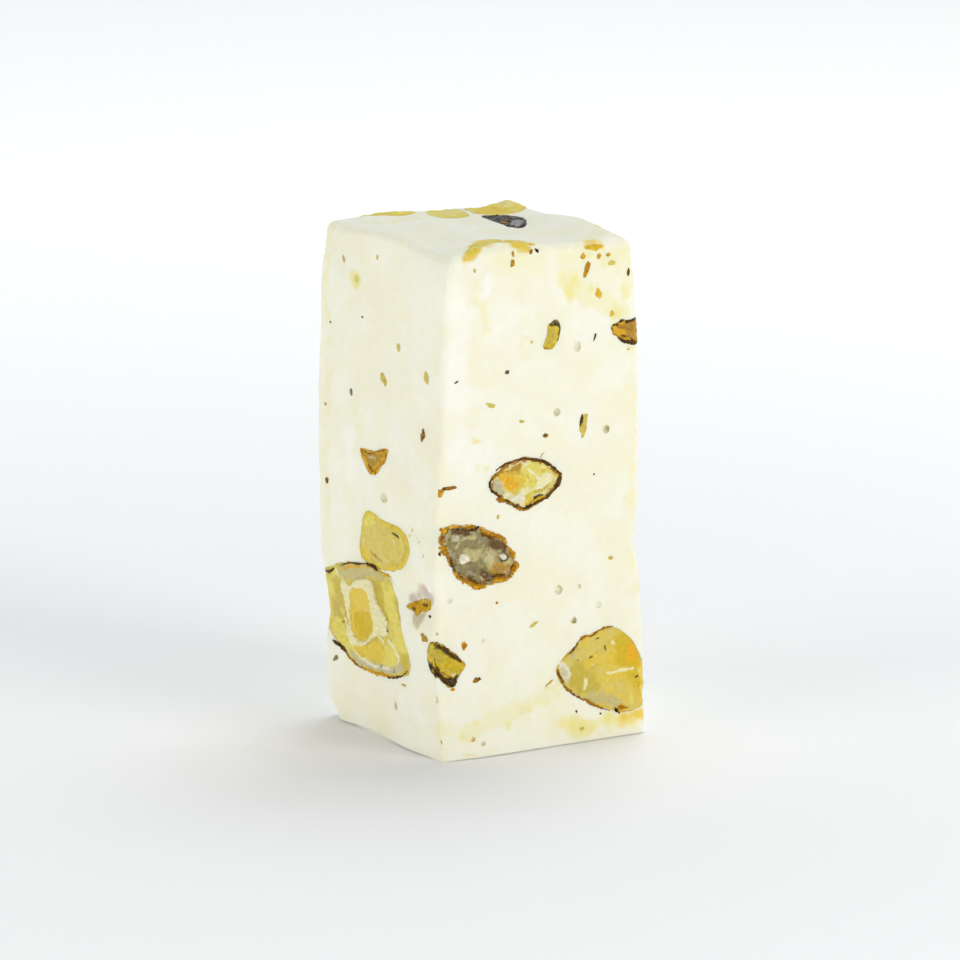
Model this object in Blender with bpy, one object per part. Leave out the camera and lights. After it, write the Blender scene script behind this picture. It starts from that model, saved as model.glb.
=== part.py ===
"""A bite of white nougat: an upright, knife-cut block set with almonds and hazelnuts.

The block stands on its foot, +Z up, with the origin under the middle of its outline.
Every nut that a cut face shows is a solid of its own. It lies flush in that face, in a
pocket that follows it all round. The smallest flakes are relief on the nougat.

Run with: blender --background --python part.py
"""
import math

import bmesh
import bpy
from mathutils import Matrix, Vector

MM = 0.001

# The block, in millimetres. Each upright edge leans and bows a little, so its X is given
# at several heights, from the foot to the top, and its Y at the foot and at the top.
BLOCK_HEIGHT = 53.3
EDGE_HEIGHTS = (0.0, 12.0, 24.0, 36.0, 47.0, 53.3)
EDGE_X = {
    "front_left": (-11.50, -12.30, -12.05, -11.25, -10.85, -10.75),
    "front_right": (13.48, 13.05, 12.40, 12.45, 11.95, 11.25),
    "back_left": (-12.50, -12.95, -13.20, -13.00, -12.50, -11.60),
    "back_right": (12.30, 12.20, 12.00, 11.80, 11.50, 11.15),
}
EDGE_Y = {
    "front_left": (-12.05, -12.10),
    "front_right": (-12.20, -12.10),
    "back_left": (11.10, 12.25),
    "back_right": (11.50, 12.35),
}
EDGE_ROUND = 0.9
NOMINAL_HALF = Vector((12.0, 12.0, BLOCK_HEIGHT / 2))
GRID_CELL = 2.05
ORIGIN_SHIFT = Vector((-0.15, 0.0, 0.0))
ARC_STEP = 1.0 - math.tan(math.pi / 8)
FOOT_RIM = 1.0 - EDGE_ROUND / NOMINAL_HALF.x

# Soft bumps (+) and hollows (-): middle, reach on each axis, direction, height.
SWELLS = {
    "rim_front": ((-4.9, -11.6, 53.3), (5.2, 4.2, 3.0), (0, 0, 1), 0.70),
    "rim_left": ((-11.6, 0.0, 53.3), (3.6, 6.5, 3.0), (0, 0, 1), 0.65),
    "rim_right": ((11.0, -2.5, 53.3), (4.5, 6.5, 3.0), (0, 0, 1), 0.65),
    "rim_back": ((-4.6, 12.2, 53.3), (4.2, 3.0, 3.0), (0, 0, 1), 0.50),
    "peak_back": ((10.9, 11.6, 53.3), (2.4, 3.2, 3.0), (0, 0, 1), 0.40),
    "top_left_front": ((-10.8, -10.8, 53.3), (3.2, 4.6, 2.0), (0.6, 0.3, -0.7), 0.75),
    "top_right_front": ((10.9, -12.1, 53.3), (2.2, 2.2, 2.2), (-0.7, 0.2, -0.5), 0.20),
    "waist_right": ((12.5, -12.0, 21.2), (4.0, 4.0, 2.4), (-1, 0, 0), 0.75),
    "almond_dip": ((-13.1, 11.4, 12.0), (3.0, 4.5, 3.4), (1, 0, 0), 0.80),
    "crumb_hollow": ((-12.3, -8.6, 16.6), (3.0, 2.9, 2.0), (1, 0, 0), 0.90),
    "front_face_low": ((2.0, -12.0, 9.0), (7.0, 5.0, 8.0), (0, 1, 0), 0.25),
    "front_face_mid": ((-1.0, -12.0, 38.0), (7.0, 5.0, 9.0), (0, -1, 0), 0.22),
    "left_face_mid": ((-12.8, 1.0, 34.0), (5.0, 7.0, 12.0), (-1, 0, 0), 0.25),
    "back_face_mid": ((1.0, 11.8, 25.0), (8.0, 5.0, 12.0), (0, 1, 0), 0.35),
    "right_face_high": ((12.0, 1.0, 38.0), (5.0, 7.0, 9.0), (-1, 0, 0), 0.35),
    "foot_front_left": ((-11.4, -11.7, 1.5), (3.4, 3.4, 5.5), (0.7, 0.7, 0), 0.70),
    "foot_left_rim": ((-12.6, 2.2, 0.0), (2.2, 4.5, 1.6), (1, 0, 0.5), 0.55),
}
# Broken corners: a point on the break and the direction in which it faces.
BREAKS = {
    "foot_back_left": ((-12.4, 8.9, 0.9), (-0.55, 0.60, -0.58)),
    "top_back_left": ((-11.5, 11.9, 52.9), (-0.60, 0.50, 0.62)),
}
BREAK_SHARE = 0.85

# The flat of the foot, which ends short of the broken corner, and its worn edge.
FOOT_FLAT = {
    "front_left": (-10.90, -11.20),
    "front_right": (12.90, -11.65),
    "back_left": (-11.50, 10.30),
    "back_right": (11.75, 10.95),
}
FOOT_BREAK_FACING = Vector((-0.676, 0.737))
FOOT_BREAK_REACH = 13.75
FOOT_EDGE_HEIGHT = 0.40
FOOT_EDGE_FALL = 0.5

# The gap between a nut and the nougat round it, and how far a nut's tool stands out.
GAP = 0.3
STAND_OUT = 2.4
CREAM = (0.90, 0.86, 0.68)
GOLD = (0.72, 0.50, 0.16)
OLIVE = (0.52, 0.43, 0.20)
DARK = (0.16, 0.07, 0.03)

OVAL_CORNERS = 8
OVAL_UNEVEN = 0.07

# Faces: across, up and outward directions.
FACES = {
    "front": (Vector((1, 0, 0)), Vector((0, 0, 1)), Vector((0, -1, 0))),
    "left": (Vector((0, -1, 0)), Vector((0, 0, 1)), Vector((-1, 0, 0))),
    "back": (Vector((-1, 0, 0)), Vector((0, 0, 1)), Vector((0, 1, 0))),
    "right": (Vector((0, 1, 0)), Vector((0, 0, 1)), Vector((1, 0, 0))),
    "top": (Vector((1, 0, 0)), Vector((0, 1, 0)), Vector((0, 0, 1))),
}


def oval(half_width, half_height, tilt, taper):
    """Return the corners of a tilted oval that narrows or widens along its length."""
    turn = Matrix.Rotation(math.radians(tilt), 2)
    corners = []
    for step in range(OVAL_CORNERS):
        angle = 2 * math.pi * step / OVAL_CORNERS
        high = half_height * math.sin(angle) * (1.0 + taper * math.cos(angle))
        high += OVAL_UNEVEN * half_height * math.sin(2.6 * angle)
        corners.append(turn @ Vector((half_width * math.cos(angle), high)))
    return corners


# Nuts: face, middle, depth, colour and the corners of the outline round the middle, across
# and up the face, which a smooth closed curve joins. Earlier nuts cut into later ones.
NUTS = {
    "almond_half_low": ("left", (-12.7, 2.3, 12.9), 5.2, GOLD, (
        (8.2, -0.5), (5.6, 5.0), (0.5, 5.8), (-4.8, 4.8), (-9.2, 2.6), (-9.4, -2.2), (-4.4, -4.9),
        (-0.9, -5.8), (6.7, -5.3), (9.3, -3.6))),
    "almond_teardrop": ("left", (-12.6, -2.1, 21.6), 3.6, OLIVE, (
        (5.0, 0.5), (3.3, 2.1), (-0.4, 2.5), (-3.5, 2.9), (-4.5, 1.0), (-5.0, -1.7), (-3.4, -2.9),
        (0.6, -2.9), (3.9, -1.7))),
    "nut_wedge_left": ("left", (-12.5, 0.2, 30.2), 2.0, GOLD, (
        (2.2, 0.0), (2.6, 1.5), (0.1, 0.9), (-2.6, 0.6), (-1.7, -1.0), (0.3, -1.7))),
    "nut_crumb": ("left", (-11.9, -8.4, 16.1), 1.8, GOLD, (
        (1.8, 0.0), (2.3, 1.0), (0.2, 1.0), (-2.3, 0.2), (-2.0, -0.8), (-0.6, -1.2))),
    "hazelnut_edge": ("front", (-10.7, -12.0, 10.7), 2.6, DARK, (
        (2.1, 0.2), (-0.1, 1.5), (-1.7, 2.3), (-2.4, 0.6), (-1.3, -1.2), (0.1, -2.3), (0.8, -1.5),
        (2.0, -1.0))),
    "hazelnut_grey": ("front", (-7.2, -12.0, 21.7), 3.6, OLIVE, (
        (3.4, 1.2), (1.6, 2.4), (-0.2, 3.3), (-3.6, 3.5), (-4.7, 2.1), (-3.8, 0.0), (-3.0, -1.5),
        (-1.6, -2.7), (0.2, -3.4), (3.4, -3.0), (4.6, -1.6))),
    "hazelnut_lens": ("front", (-1.7, -12.1, 28.7), 3.4, GOLD, (
        (4.3, 0.1), (3.7, 1.4), (2.0, 2.4), (-0.3, 2.8), (-2.3, 2.3), (-4.2, 0.8), (-3.5, -0.8),
        (0.0, -2.8), (3.3, -1.2))),
    "almond_corner": ("front", (8.0, -12.0, 7.4), 5.6, GOLD, (
        (4.8, 0.9), (3.1, 3.4), (0.8, 4.8), (-1.8, 4.2), (-4.8, 2.1), (-5.7, 0.5), (-4.4, -1.3),
        (-0.5, -3.8), (2.9, -4.8), (5.4, -3.8), (6.2, -1.4))),
    "nut_wedge_edge": ("front", (11.0, -12.1, 43.3), 2.2, DARK, (
        (2.8, 0.0), (2.4, 1.4), (-1.1, 1.4), (-2.5, 0.7), (-1.6, -0.3), (0.2, -1.1), (2.4, -1.4))),
    "nut_slanted": ("front", (1.5, -12.1, 44.0), 1.5, OLIVE, (
        (1.1, 0.6), (0.7, 1.6), (-0.4, 1.2), (-0.7, -0.1), (-1.1, -1.2), (-0.3, -1.6), (0.8, -0.8))),
    "nut_slab_top": ("top", (-4.4, 12.0, 53.6), 1.5, GOLD, (
        (-3.6, -0.1), (-1.2, -1.3), (0.9, -2.2), (3.0, -1.2), (3.6, 0.6), (2.6, 2.0), (-2.6, 2.0))),
    "nut_pale_top": ("top", (2.0, 9.9, 53.4), 1.8, OLIVE, (
        (-2.5, -2.2), (-1.2, -3.1), (1.0, -2.7), (2.0, 0.1), (1.8, 3.0), (-0.2, 3.4), (-2.2, 1.2))),
    "nut_ridge_top": ("top", (8.0, 10.0, 53.7), 2.4, GOLD, (
        (-3.6, -2.6), (-1.8, -3.8), (0.7, -3.6), (3.0, -1.2), (3.6, 2.4), (1.6, 3.4), (-1.6, 3.2),
        (-3.7, 0.6))),
    "hazelnut_dark_top": ("top", (5.2, 2.3, 53.4), 1.6, DARK, (
        (-1.4, 2.7), (-1.8, -0.7), (-2.0, -3.6), (-0.9, -4.2), (1.2, -1.2), (2.2, 2.0), (1.0, 3.9),
        (-0.9, 4.7))),
    "nut_flake_top": ("top", (-4.2, -10.7, 54.0), 0.9, GOLD, (
        (-4.6, -0.9), (-2.4, -0.8), (0.4, -0.2), (4.4, -1.1), (4.7, -0.6), (2.4, 0.7), (-0.6, 1.2),
        (-3.4, 0.4))),
    "almond_half_back": ("back", (2.8, 12.1, 33.5), 4.4, OLIVE, oval(6.6, 4.2, 34, 0.22)),
    "hazelnut_back_low": ("back", (-5.6, 11.6, 15.6), 3.8, GOLD, oval(4.1, 3.4, 12, -0.05)),
    "nut_wedge_back": ("back", (6.4, 11.6, 8.0), 2.2, GOLD, oval(3.0, 1.8, -25, 0.40)),
    "nut_small_back": ("back", (-7.2, 12.2, 43.6), 1.7, DARK, oval(1.9, 1.2, 50, 0.20)),
    "almond_half_right": ("right", (12.1, 3.4, 27.0), 3.8, GOLD, oval(5.3, 3.3, -35, 0.20)),
    "hazelnut_right_low": ("right", (12.3, 5.8, 12.3), 3.0, DARK, oval(3.3, 2.6, 15, -0.05)),
    "nut_small_right": ("right", (11.9, -3.6, 40.2), 1.6, OLIVE, oval(1.8, 1.1, 35, 0.25)),
}
# Small flakes on the nougat: face, middle, (half width, half height), tilt in degrees.
FLAKES = (
    ("front", (5.5, -12.2, 33.9), (1.20, 0.40), 80),
    ("front", (-10.1, -12.05, 29.2), (0.95, 0.35), 4),
    ("front", (-7.1, -12.0, 8.5), (0.55, 0.40), 20),
    ("front", (-8.5, -12.0, 11.9), (0.45, 0.32), 60),
    ("front", (5.7, -12.2, 50.3), (0.80, 0.38), 65),
    ("front", (-3.1, -12.2, 51.9), (0.62, 0.34), 85),
    ("front", (8.9, -12.2, 50.7), (0.48, 0.36), 30),
    ("left", (-11.9, -8.4, 34.3), (0.75, 0.36), 75),
    ("back", (0.5, 12.2, 22.5), (1.00, 0.40), 35),
    ("back", (-2.5, 12.2, 47.0), (0.70, 0.38), 80),
    ("right", (12.4, -1.5, 20.4), (0.90, 0.40), 60),
    ("right", (12.0, 6.8, 36.0), (0.60, 0.36), 15),
)
FLAKE_PROUD = 0.14
FLAKE_DEPTH = 0.45
KERNEL_SEGMENTS = 18
KERNEL_RINGS = 8
KERNEL_FULLNESS = 0.62
POLE = 0.000001
WELD = 0.00004
SHARP_ANGLE = math.radians(40)
NUT_ROUGHNESS = 0.4
NOUGAT_ROUGHNESS = 0.6


def clear_scene():
    """Remove whatever the scene holds."""
    for thing in list(bpy.data.objects):
        bpy.data.objects.remove(thing, do_unlink=True)


def material(name, colour, roughness):
    """Return a plain Principled material."""
    finish = bpy.data.materials.new(name)
    finish.use_nodes = True
    shader = finish.node_tree.nodes["Principled BSDF"]
    shader.inputs["Base Color"].default_value = (*colour, 1.0)
    shader.inputs["Roughness"].default_value = roughness
    shader.inputs["Metallic"].default_value = 0.0
    return finish


def new_object(name, mesh_builder):
    """Turn a bmesh into a linked object of flat triangles and free the bmesh."""
    bmesh.ops.triangulate(mesh_builder, faces=mesh_builder.faces[:])
    mesh = bpy.data.meshes.new(name)
    mesh_builder.to_mesh(mesh)
    mesh_builder.free()
    thing = bpy.data.objects.new(name, mesh)
    bpy.context.collection.objects.link(thing)
    return thing


def along_edge(values, height):
    """Interpolate an upright edge's values smoothly, by a cubic through its stations."""
    last = len(EDGE_HEIGHTS) - 1
    height = min(max(height, EDGE_HEIGHTS[0]), EDGE_HEIGHTS[last])
    step = 0
    while step < last - 1 and height > EDGE_HEIGHTS[step + 1]:
        step += 1
    low = EDGE_HEIGHTS[step]
    span = EDGE_HEIGHTS[step + 1] - low
    share = (height - low) / span

    def slope(index):
        before = max(index - 1, 0)
        after = min(index + 1, last)
        return (values[after] - values[before]) / (EDGE_HEIGHTS[after] - EDGE_HEIGHTS[before])

    square = share * share
    cube = square * share
    return (
        (2 * cube - 3 * square + 1) * values[step]
        + (cube - 2 * square + share) * span * slope(step)
        + (3 * square - 2 * cube) * values[step + 1]
        + (cube - square) * span * slope(step + 1)
    )


def edge_point(edge, height):
    """Return the plan position of an upright edge at a height."""
    foot, top = EDGE_Y[edge]
    return Vector((along_edge(EDGE_X[edge], height), foot + (top - foot) * height / BLOCK_HEIGHT))


def rounded(point):
    """Round the edges of the nominal box at a point of its surface, all but the foot's."""
    core = Vector()
    for axis in range(3):
        limit = NOMINAL_HALF[axis] - EDGE_ROUND
        core[axis] = min(max(point[axis], -limit), limit)
    core.z = min(point.z, NOMINAL_HALF.z - EDGE_ROUND)
    outward = point - core
    if outward.length == 0:
        return point
    return core + outward.normalized() * EDGE_ROUND


def swollen(point):
    """Raise and sink a point by the soft bumps and hollows near it."""
    moved = point.copy()
    for middle, reach, direction, height in SWELLS.values():
        away = 0.0
        for axis in range(3):
            away += ((point[axis] - middle[axis]) / reach[axis]) ** 2
        moved += Vector(direction).normalized() * height * math.exp(-away)
    return moved


def broken(point):
    """Push a point that lies past a broken corner back towards the break."""
    for middle, facing in BREAKS.values():
        outward = Vector(facing).normalized()
        past = (point - Vector(middle)).dot(outward)
        if past > 0:
            point = point - outward * past * BREAK_SHARE
    return point


def between(corners, across, back):
    """Return the plan position at a share of the way across and back between four corners."""
    front_side = Vector(corners["front_left"]).lerp(Vector(corners["front_right"]), across)
    back_side = Vector(corners["back_left"]).lerp(Vector(corners["back_right"]), across)
    return front_side.lerp(back_side, back)


def skin_point(share):
    """Map a point of the unit cube's sides and top to the block's surface, in millimetres."""
    nominal = rounded(Vector([share[axis] * NOMINAL_HALF[axis] for axis in range(3)]))
    height = max(nominal.z + NOMINAL_HALF.z, FOOT_EDGE_HEIGHT)
    edges = {edge: edge_point(edge, height) for edge in EDGE_X}
    plan = between(edges, 0.5 + 0.5 * nominal.x / NOMINAL_HALF.x, 0.5 + 0.5 * nominal.y / NOMINAL_HALF.y)
    return broken(swollen(Vector((plan.x, plan.y, height))))


def block_point(share):
    """Map a point of the unit cube's surface to the block's surface, in millimetres."""
    if share[2] > -1.0:
        return skin_point(share)
    core = Vector([min(max(share[axis], -FOOT_RIM), FOOT_RIM) for axis in range(2)])
    flat = between(FOOT_FLAT, 0.5 + 0.5 * core.x / FOOT_RIM, 0.5 + 0.5 * core.y / FOOT_RIM)
    past = flat.dot(FOOT_BREAK_FACING) - FOOT_BREAK_REACH
    flat -= FOOT_BREAK_FACING * max(past, 0.0)
    outward = share.xy - core
    out = max(abs(outward.x), abs(outward.y)) / (1.0 - FOOT_RIM)
    if out == 0:
        return flat.to_3d()
    rim = core + outward / out
    edge = skin_point(Vector((rim.x, rim.y, -1.0)))
    plan = flat.lerp(edge.xy, out)
    return Vector((plan.x, plan.y, edge.z * out ** FOOT_EDGE_FALL))


def grid_lines(half):
    """Return where the grid crosses one axis of the unit cube, without its two ends."""
    rim = 1.0 - EDGE_ROUND / half
    arc = 1.0 - EDGE_ROUND * ARC_STEP / half
    count = round(2 * rim * half / GRID_CELL)
    lines = [-arc, arc]
    for step in range(count + 1):
        lines.append(-rim + 2 * rim * step / count)
    return lines


def build_block():
    """Build the cut block without its pockets."""
    builder = bmesh.new()
    bmesh.ops.create_cube(builder, size=2.0)
    for axis in range(3):
        direction = Vector((0, 0, 0))
        direction[axis] = 1.0
        for line in grid_lines(NOMINAL_HALF[axis]):
            everything = builder.verts[:] + builder.edges[:] + builder.faces[:]
            bmesh.ops.bisect_plane(builder, geom=everything, plane_co=direction * line, plane_no=direction)
    for corner in builder.verts:
        corner.co = block_point(corner.co) * MM
    return new_object("block_form", builder)


def outline_point(angle, corners, margin):
    """Return a point of the smooth closed curve through a nut's corners, grown by a margin."""
    count = len(corners)
    place = angle / (2 * math.pi) * count
    step = math.floor(place)
    share = place - step
    before, start, end, after = [Vector(corners[(step + offset) % count]) for offset in (-1, 0, 1, 2)]
    point = 0.5 * (
        2 * start
        + (end - before) * share
        + (2 * before - 5 * start + 4 * end - after) * share ** 2
        + (3 * start - before - 3 * end + after) * share ** 3
    )
    return point + point.normalized() * margin


def build_kernel(name, spec, margin):
    """Build a whole nut that stands out of its face, grown by a margin."""
    face, middle, depth, _colour, corners = spec
    across, up, outward = FACES[face]
    builder = bmesh.new()
    bmesh.ops.create_uvsphere(builder, u_segments=KERNEL_SEGMENTS, v_segments=KERNEL_RINGS, radius=1.0)
    for corner in builder.verts:
        ring = math.hypot(corner.co.x, corner.co.y)
        wide, high = outline_point(math.atan2(corner.co.y, corner.co.x), corners, margin)
        fullness = ring ** KERNEL_FULLNESS if ring > POLE else 0.0
        reach = STAND_OUT if corner.co.z > 0 else depth
        deep = corner.co.z * (reach + margin)
        place = Vector(middle) + (across * wide + up * high) * fullness + outward * deep
        corner.co = place * MM
    return new_object(name, builder)


def build_flake(index, spec):
    """Build one thin flake that lies in its face and stands a little proud."""
    face, middle, sizes, tilt = spec
    across, up, outward = FACES[face]
    turn = math.radians(tilt)
    right = across * math.cos(turn) + up * math.sin(turn)
    above = up * math.cos(turn) - across * math.sin(turn)
    builder = bmesh.new()
    bmesh.ops.create_icosphere(builder, subdivisions=2, radius=1.0)
    for corner in builder.verts:
        reach = FLAKE_PROUD if corner.co.z > 0 else FLAKE_DEPTH
        flat = right * corner.co.x * sizes[0] + above * corner.co.y * sizes[1]
        corner.co = (Vector(middle) + flat + outward * corner.co.z * reach) * MM
    return new_object("flake_%02d" % index, builder)


def combine(target, tool, operation):
    """Apply one exact Boolean to the target with a single tool."""
    cut = target.modifiers.new(operation, "BOOLEAN")
    cut.operation = operation
    cut.solver = "EXACT"
    cut.object = tool
    apply_modifiers(target)


def combine_all(target, collection, operation):
    """Apply one exact Boolean to the target with every object of a collection."""
    cut = target.modifiers.new(operation, "BOOLEAN")
    cut.operation = operation
    cut.solver = "EXACT"
    cut.operand_type = "COLLECTION"
    cut.collection = collection
    apply_modifiers(target)


def apply_modifiers(thing):
    """Replace an object's mesh by the one that its modifiers make."""
    view = bpy.context.evaluated_depsgraph_get()
    result = bpy.data.meshes.new_from_object(thing.evaluated_get(view))
    thing.modifiers.clear()
    thing.data = result


def remove(thing):
    """Delete an object that has done its work."""
    bpy.data.objects.remove(thing, do_unlink=True)


def tidy(thing, weld):
    """Weld the slivers that a Boolean leaves and split every face into triangles."""
    builder = bmesh.new()
    builder.from_mesh(thing.data)
    bmesh.ops.remove_doubles(builder, verts=builder.verts[:], dist=weld)
    bmesh.ops.dissolve_degenerate(builder, edges=builder.edges[:], dist=weld)
    bmesh.ops.triangulate(builder, faces=builder.faces[:])
    builder.to_mesh(thing.data)
    builder.free()


def finish(thing, colour, roughness):
    """Centre an object on the origin and give it its material and smooth shading."""
    thing.data.transform(Matrix.Translation(ORIGIN_SHIFT * MM))
    thing.data.materials.clear()
    thing.data.materials.append(material(thing.name + "_finish", colour, roughness))
    thing.data.shade_smooth()
    thing.data.set_sharp_from_angle(angle=SHARP_ANGLE)


def main():
    """Build the block, its nuts and its flakes."""
    clear_scene()
    block = build_block()
    pockets = bpy.data.collections.new("pockets")
    bpy.context.scene.collection.children.link(pockets)
    for name, spec in NUTS.items():
        nut = build_kernel(name, spec, 0.0)
        combine(nut, block, "INTERSECT")
        for pocket in pockets.objects:
            combine(nut, pocket, "DIFFERENCE")
        tidy(nut, WELD)
        finish(nut, spec[3], NUT_ROUGHNESS)
        pocket = build_kernel("pocket_" + name, spec, GAP)
        bpy.context.collection.objects.unlink(pocket)
        pockets.objects.link(pocket)
    block.name = "nougat_block"
    for pocket in list(pockets.objects):
        combine(block, pocket, "DIFFERENCE")
        remove(pocket)
    flakes = bpy.data.collections.new("flakes")
    bpy.context.scene.collection.children.link(flakes)
    for index, spec in enumerate(FLAKES):
        flake = build_flake(index, spec)
        bpy.context.collection.objects.unlink(flake)
        flakes.objects.link(flake)
    combine_all(block, flakes, "UNION")
    for flake in list(flakes.objects):
        remove(flake)
    tidy(block, WELD)
    finish(block, CREAM, NOUGAT_ROUGHNESS)


main()
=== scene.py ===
"""A bite of white nougat with almonds and hazelnuts, dressed and lit for the studio.

Everything is laid out in millimetres round the block's own axis and turned into metres in the
part's frame when a piece is finished. Each cut face has its own across, up and outward ways.
"""

import logging
import math
import random
from collections.abc import Sequence
from dataclasses import dataclass, field, replace
from enum import Enum

import bpy
import numpy as np
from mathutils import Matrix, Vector, noise
from mathutils.bvhtree import BVHTree


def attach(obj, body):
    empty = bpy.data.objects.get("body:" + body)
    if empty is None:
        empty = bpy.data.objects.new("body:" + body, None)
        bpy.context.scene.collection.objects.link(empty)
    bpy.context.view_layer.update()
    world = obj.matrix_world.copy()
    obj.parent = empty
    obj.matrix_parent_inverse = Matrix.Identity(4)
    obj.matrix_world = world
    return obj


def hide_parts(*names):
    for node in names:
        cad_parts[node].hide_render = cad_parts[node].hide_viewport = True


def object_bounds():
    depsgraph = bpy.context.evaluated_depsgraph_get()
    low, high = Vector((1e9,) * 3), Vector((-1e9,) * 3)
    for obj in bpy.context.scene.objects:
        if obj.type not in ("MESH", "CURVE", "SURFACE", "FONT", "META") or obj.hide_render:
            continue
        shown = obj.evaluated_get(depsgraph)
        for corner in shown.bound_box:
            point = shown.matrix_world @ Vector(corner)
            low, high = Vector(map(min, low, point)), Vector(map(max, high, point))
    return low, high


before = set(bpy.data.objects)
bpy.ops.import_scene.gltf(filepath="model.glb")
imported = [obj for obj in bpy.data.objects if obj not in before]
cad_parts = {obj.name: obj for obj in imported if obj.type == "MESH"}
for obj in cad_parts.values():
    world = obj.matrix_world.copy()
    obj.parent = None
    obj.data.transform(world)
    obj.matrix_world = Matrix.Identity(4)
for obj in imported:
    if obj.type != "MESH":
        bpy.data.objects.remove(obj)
CAD_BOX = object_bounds()
LOG = logging.getLogger("nougat_bite")

MM = 0.001
ORIGIN_SHIFT = Vector((-0.15, 0.0, 0.0))
BODY = "root"
TENTHS = 10
GAMMA = 2.2
# How noise is moved by its seed, how strong it is, and how its finer layers follow each other.
SEED_WAY = np.array((1.0, 1.7, -0.6))
NOISE_GAIN = 1.6
FINER_LAYERS = (0.8, 2.0)
# A mark's edge: how far out its fraying counts, its grain, its depth, and its softness. Where
# there are two numbers, the second is multiplied by how ragged the mark is.
MARK_REACH = (0.6, 3.0)
MARK_GRAIN = (0.35, 1.2)
MARK_FRAY = 0.8
MARK_EDGE = (0.08, 1.6)
# How much smaller than its nut a pocket is, and how much larger a nut is that cuts the next one.
POCKET_MARGIN = -0.07
NEXT_MARGIN = 0.04

Spot = tuple[float, float]
Place = tuple[float, float, float]
Row = tuple[float, ...]
Mesh = tuple[np.ndarray, list]


class Side(Enum):
    """The cut faces, each with its across, up and outward directions."""

    FRONT = ((1, 0, 0), (0, 0, 1), (0, -1, 0))
    LEFT = ((0, -1, 0), (0, 0, 1), (-1, 0, 0))
    BACK = ((-1, 0, 0), (0, 0, 1), (0, 1, 0))
    RIGHT = ((0, 1, 0), (0, 0, 1), (1, 0, 0))
    TOP = ((1, 0, 0), (0, 1, 0), (0, 0, 1))

    def axes(self) -> np.ndarray:
        """Return the three directions as rows."""
        return np.array(self.value, float)

    def flatten(self, points: np.ndarray) -> np.ndarray:
        """Return where points lie across and up the face."""
        across, up, _outward = self.axes()
        return np.stack((points @ across, points @ up), 1)

    def place(self, flat: np.ndarray, level: float) -> np.ndarray:
        """Place spots given across and up the face at a level along its outward way."""
        across, up, outward = self.axes()
        return flat[:, :1] * across + flat[:, 1:] * up + outward * level


class Tint(Enum):
    """The colours of nougat, nut, skin and stain, as they look in white light, and of the painted shade and
    painted highlights laid over them.
    """

    NOUGAT = (0.962, 0.958, 0.888)
    NOUGAT_WARM = (0.953, 0.943, 0.838)
    # Chalky white nougat, and a painted highlight along the lit near edge.
    NOUGAT_CHALK = (0.974, 0.969, 0.918)
    STAIN_SOFT = (0.950, 0.934, 0.785)
    STAIN = (0.935, 0.893, 0.580)
    STAIN_DEEP = (0.930, 0.800, 0.340)
    # Painted shadow in the sunken hollow round the crumb.
    BRUISE = (0.795, 0.740, 0.685)
    # Painted shade inside the open bubbles.
    DIMPLE = (0.690, 0.650, 0.320)
    KERNEL_OLIVE = (0.790, 0.705, 0.260)
    KERNEL_TAN = (0.858, 0.778, 0.390)
    KERNEL_BROWN = (0.725, 0.560, 0.150)
    KERNEL_GREY = (0.545, 0.500, 0.315)
    # Pale kernel, and one painted highlight arc on the grey hazelnut.
    KERNEL_PALE = (0.780, 0.730, 0.500)
    CORE_GOLD = (0.895, 0.775, 0.250)
    LEAF_YELLOW = (0.905, 0.845, 0.400)
    YOLK = (0.840, 0.712, 0.100)
    RIPE_ORANGE = (0.915, 0.690, 0.060)
    AMBER = (0.885, 0.672, 0.055)
    RUST = (0.685, 0.470, 0.020)
    BARK = (0.395, 0.272, 0.010)
    BARK_DARK = (0.200, 0.140, 0.015)
    SLAB_CREAM = (0.905, 0.850, 0.530)
    # White of broken chips, and painted highlights and glints on glossy kernels.
    CHIP_WHITE = (0.950, 0.925, 0.740)
    # Whitish bloom, and painted highlights on glossy kernels.
    BLOOM_WHITE = (0.930, 0.905, 0.810)
    # Grey bloom, and painted shade in the hollow below the crumb.
    BLOOM_GREY = (0.780, 0.745, 0.600)
    HUSK_BLACK = (0.165, 0.130, 0.130)
    # Grey bits of husk, and the painted grey highlight on the dark husk on top.
    HUSK_GREY = (0.600, 0.590, 0.600)

    def linear(self) -> tuple[float, float, float, float]:
        """Return the colour as the shader wants it."""
        return tuple(math.pow(part, GAMMA) for part in self.value) + (1.0,)


class Slot(Enum):
    """The part's four finishes."""

    NOUGAT = "nougat"
    ALMOND = "almond_kernel"
    HAZELNUT = "hazelnut_kernel"
    SKIN = "nut_skin"


@dataclass(frozen=True)
class Mark:
    """A patch or stroke on a cut face that has its own tint and stands up or sinks.

    Its path runs across and up the face in tenths of a millimetre, and a width of nought fills it.
    """

    tint: Tint
    width: float
    ragged: float
    lift: float
    path: Row


@dataclass(frozen=True)
class Lip:
    """A strip of nut skin that stands up along a joint, its path in tenths of a millimetre."""

    tint: Tint
    width: float
    ragged: float
    proud: float
    path: Row


@dataclass(frozen=True)
class Crumb:
    """A bit of nut or skin set in a cut face: where, its half sizes, its turn in degrees."""

    side: Side
    middle: Spot
    half: Spot
    turn: float
    tint: Tint


Marks = dict[Tint, tuple[Row, ...]]


def marks_of(table: Marks) -> list[Mark]:
    """Read a table of marks: under each tint a width, raggedness, lift and path in each row."""
    return [Mark(tint, *row[:3], row[3:]) for tint, rows in table.items() for row in rows]


def soft_step(values: np.ndarray) -> np.ndarray:
    """Ease values from 0 to 1."""
    share = np.clip(values, 0.0, 1.0)
    return share * share * (3.0 - 2.0 * share)


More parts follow.
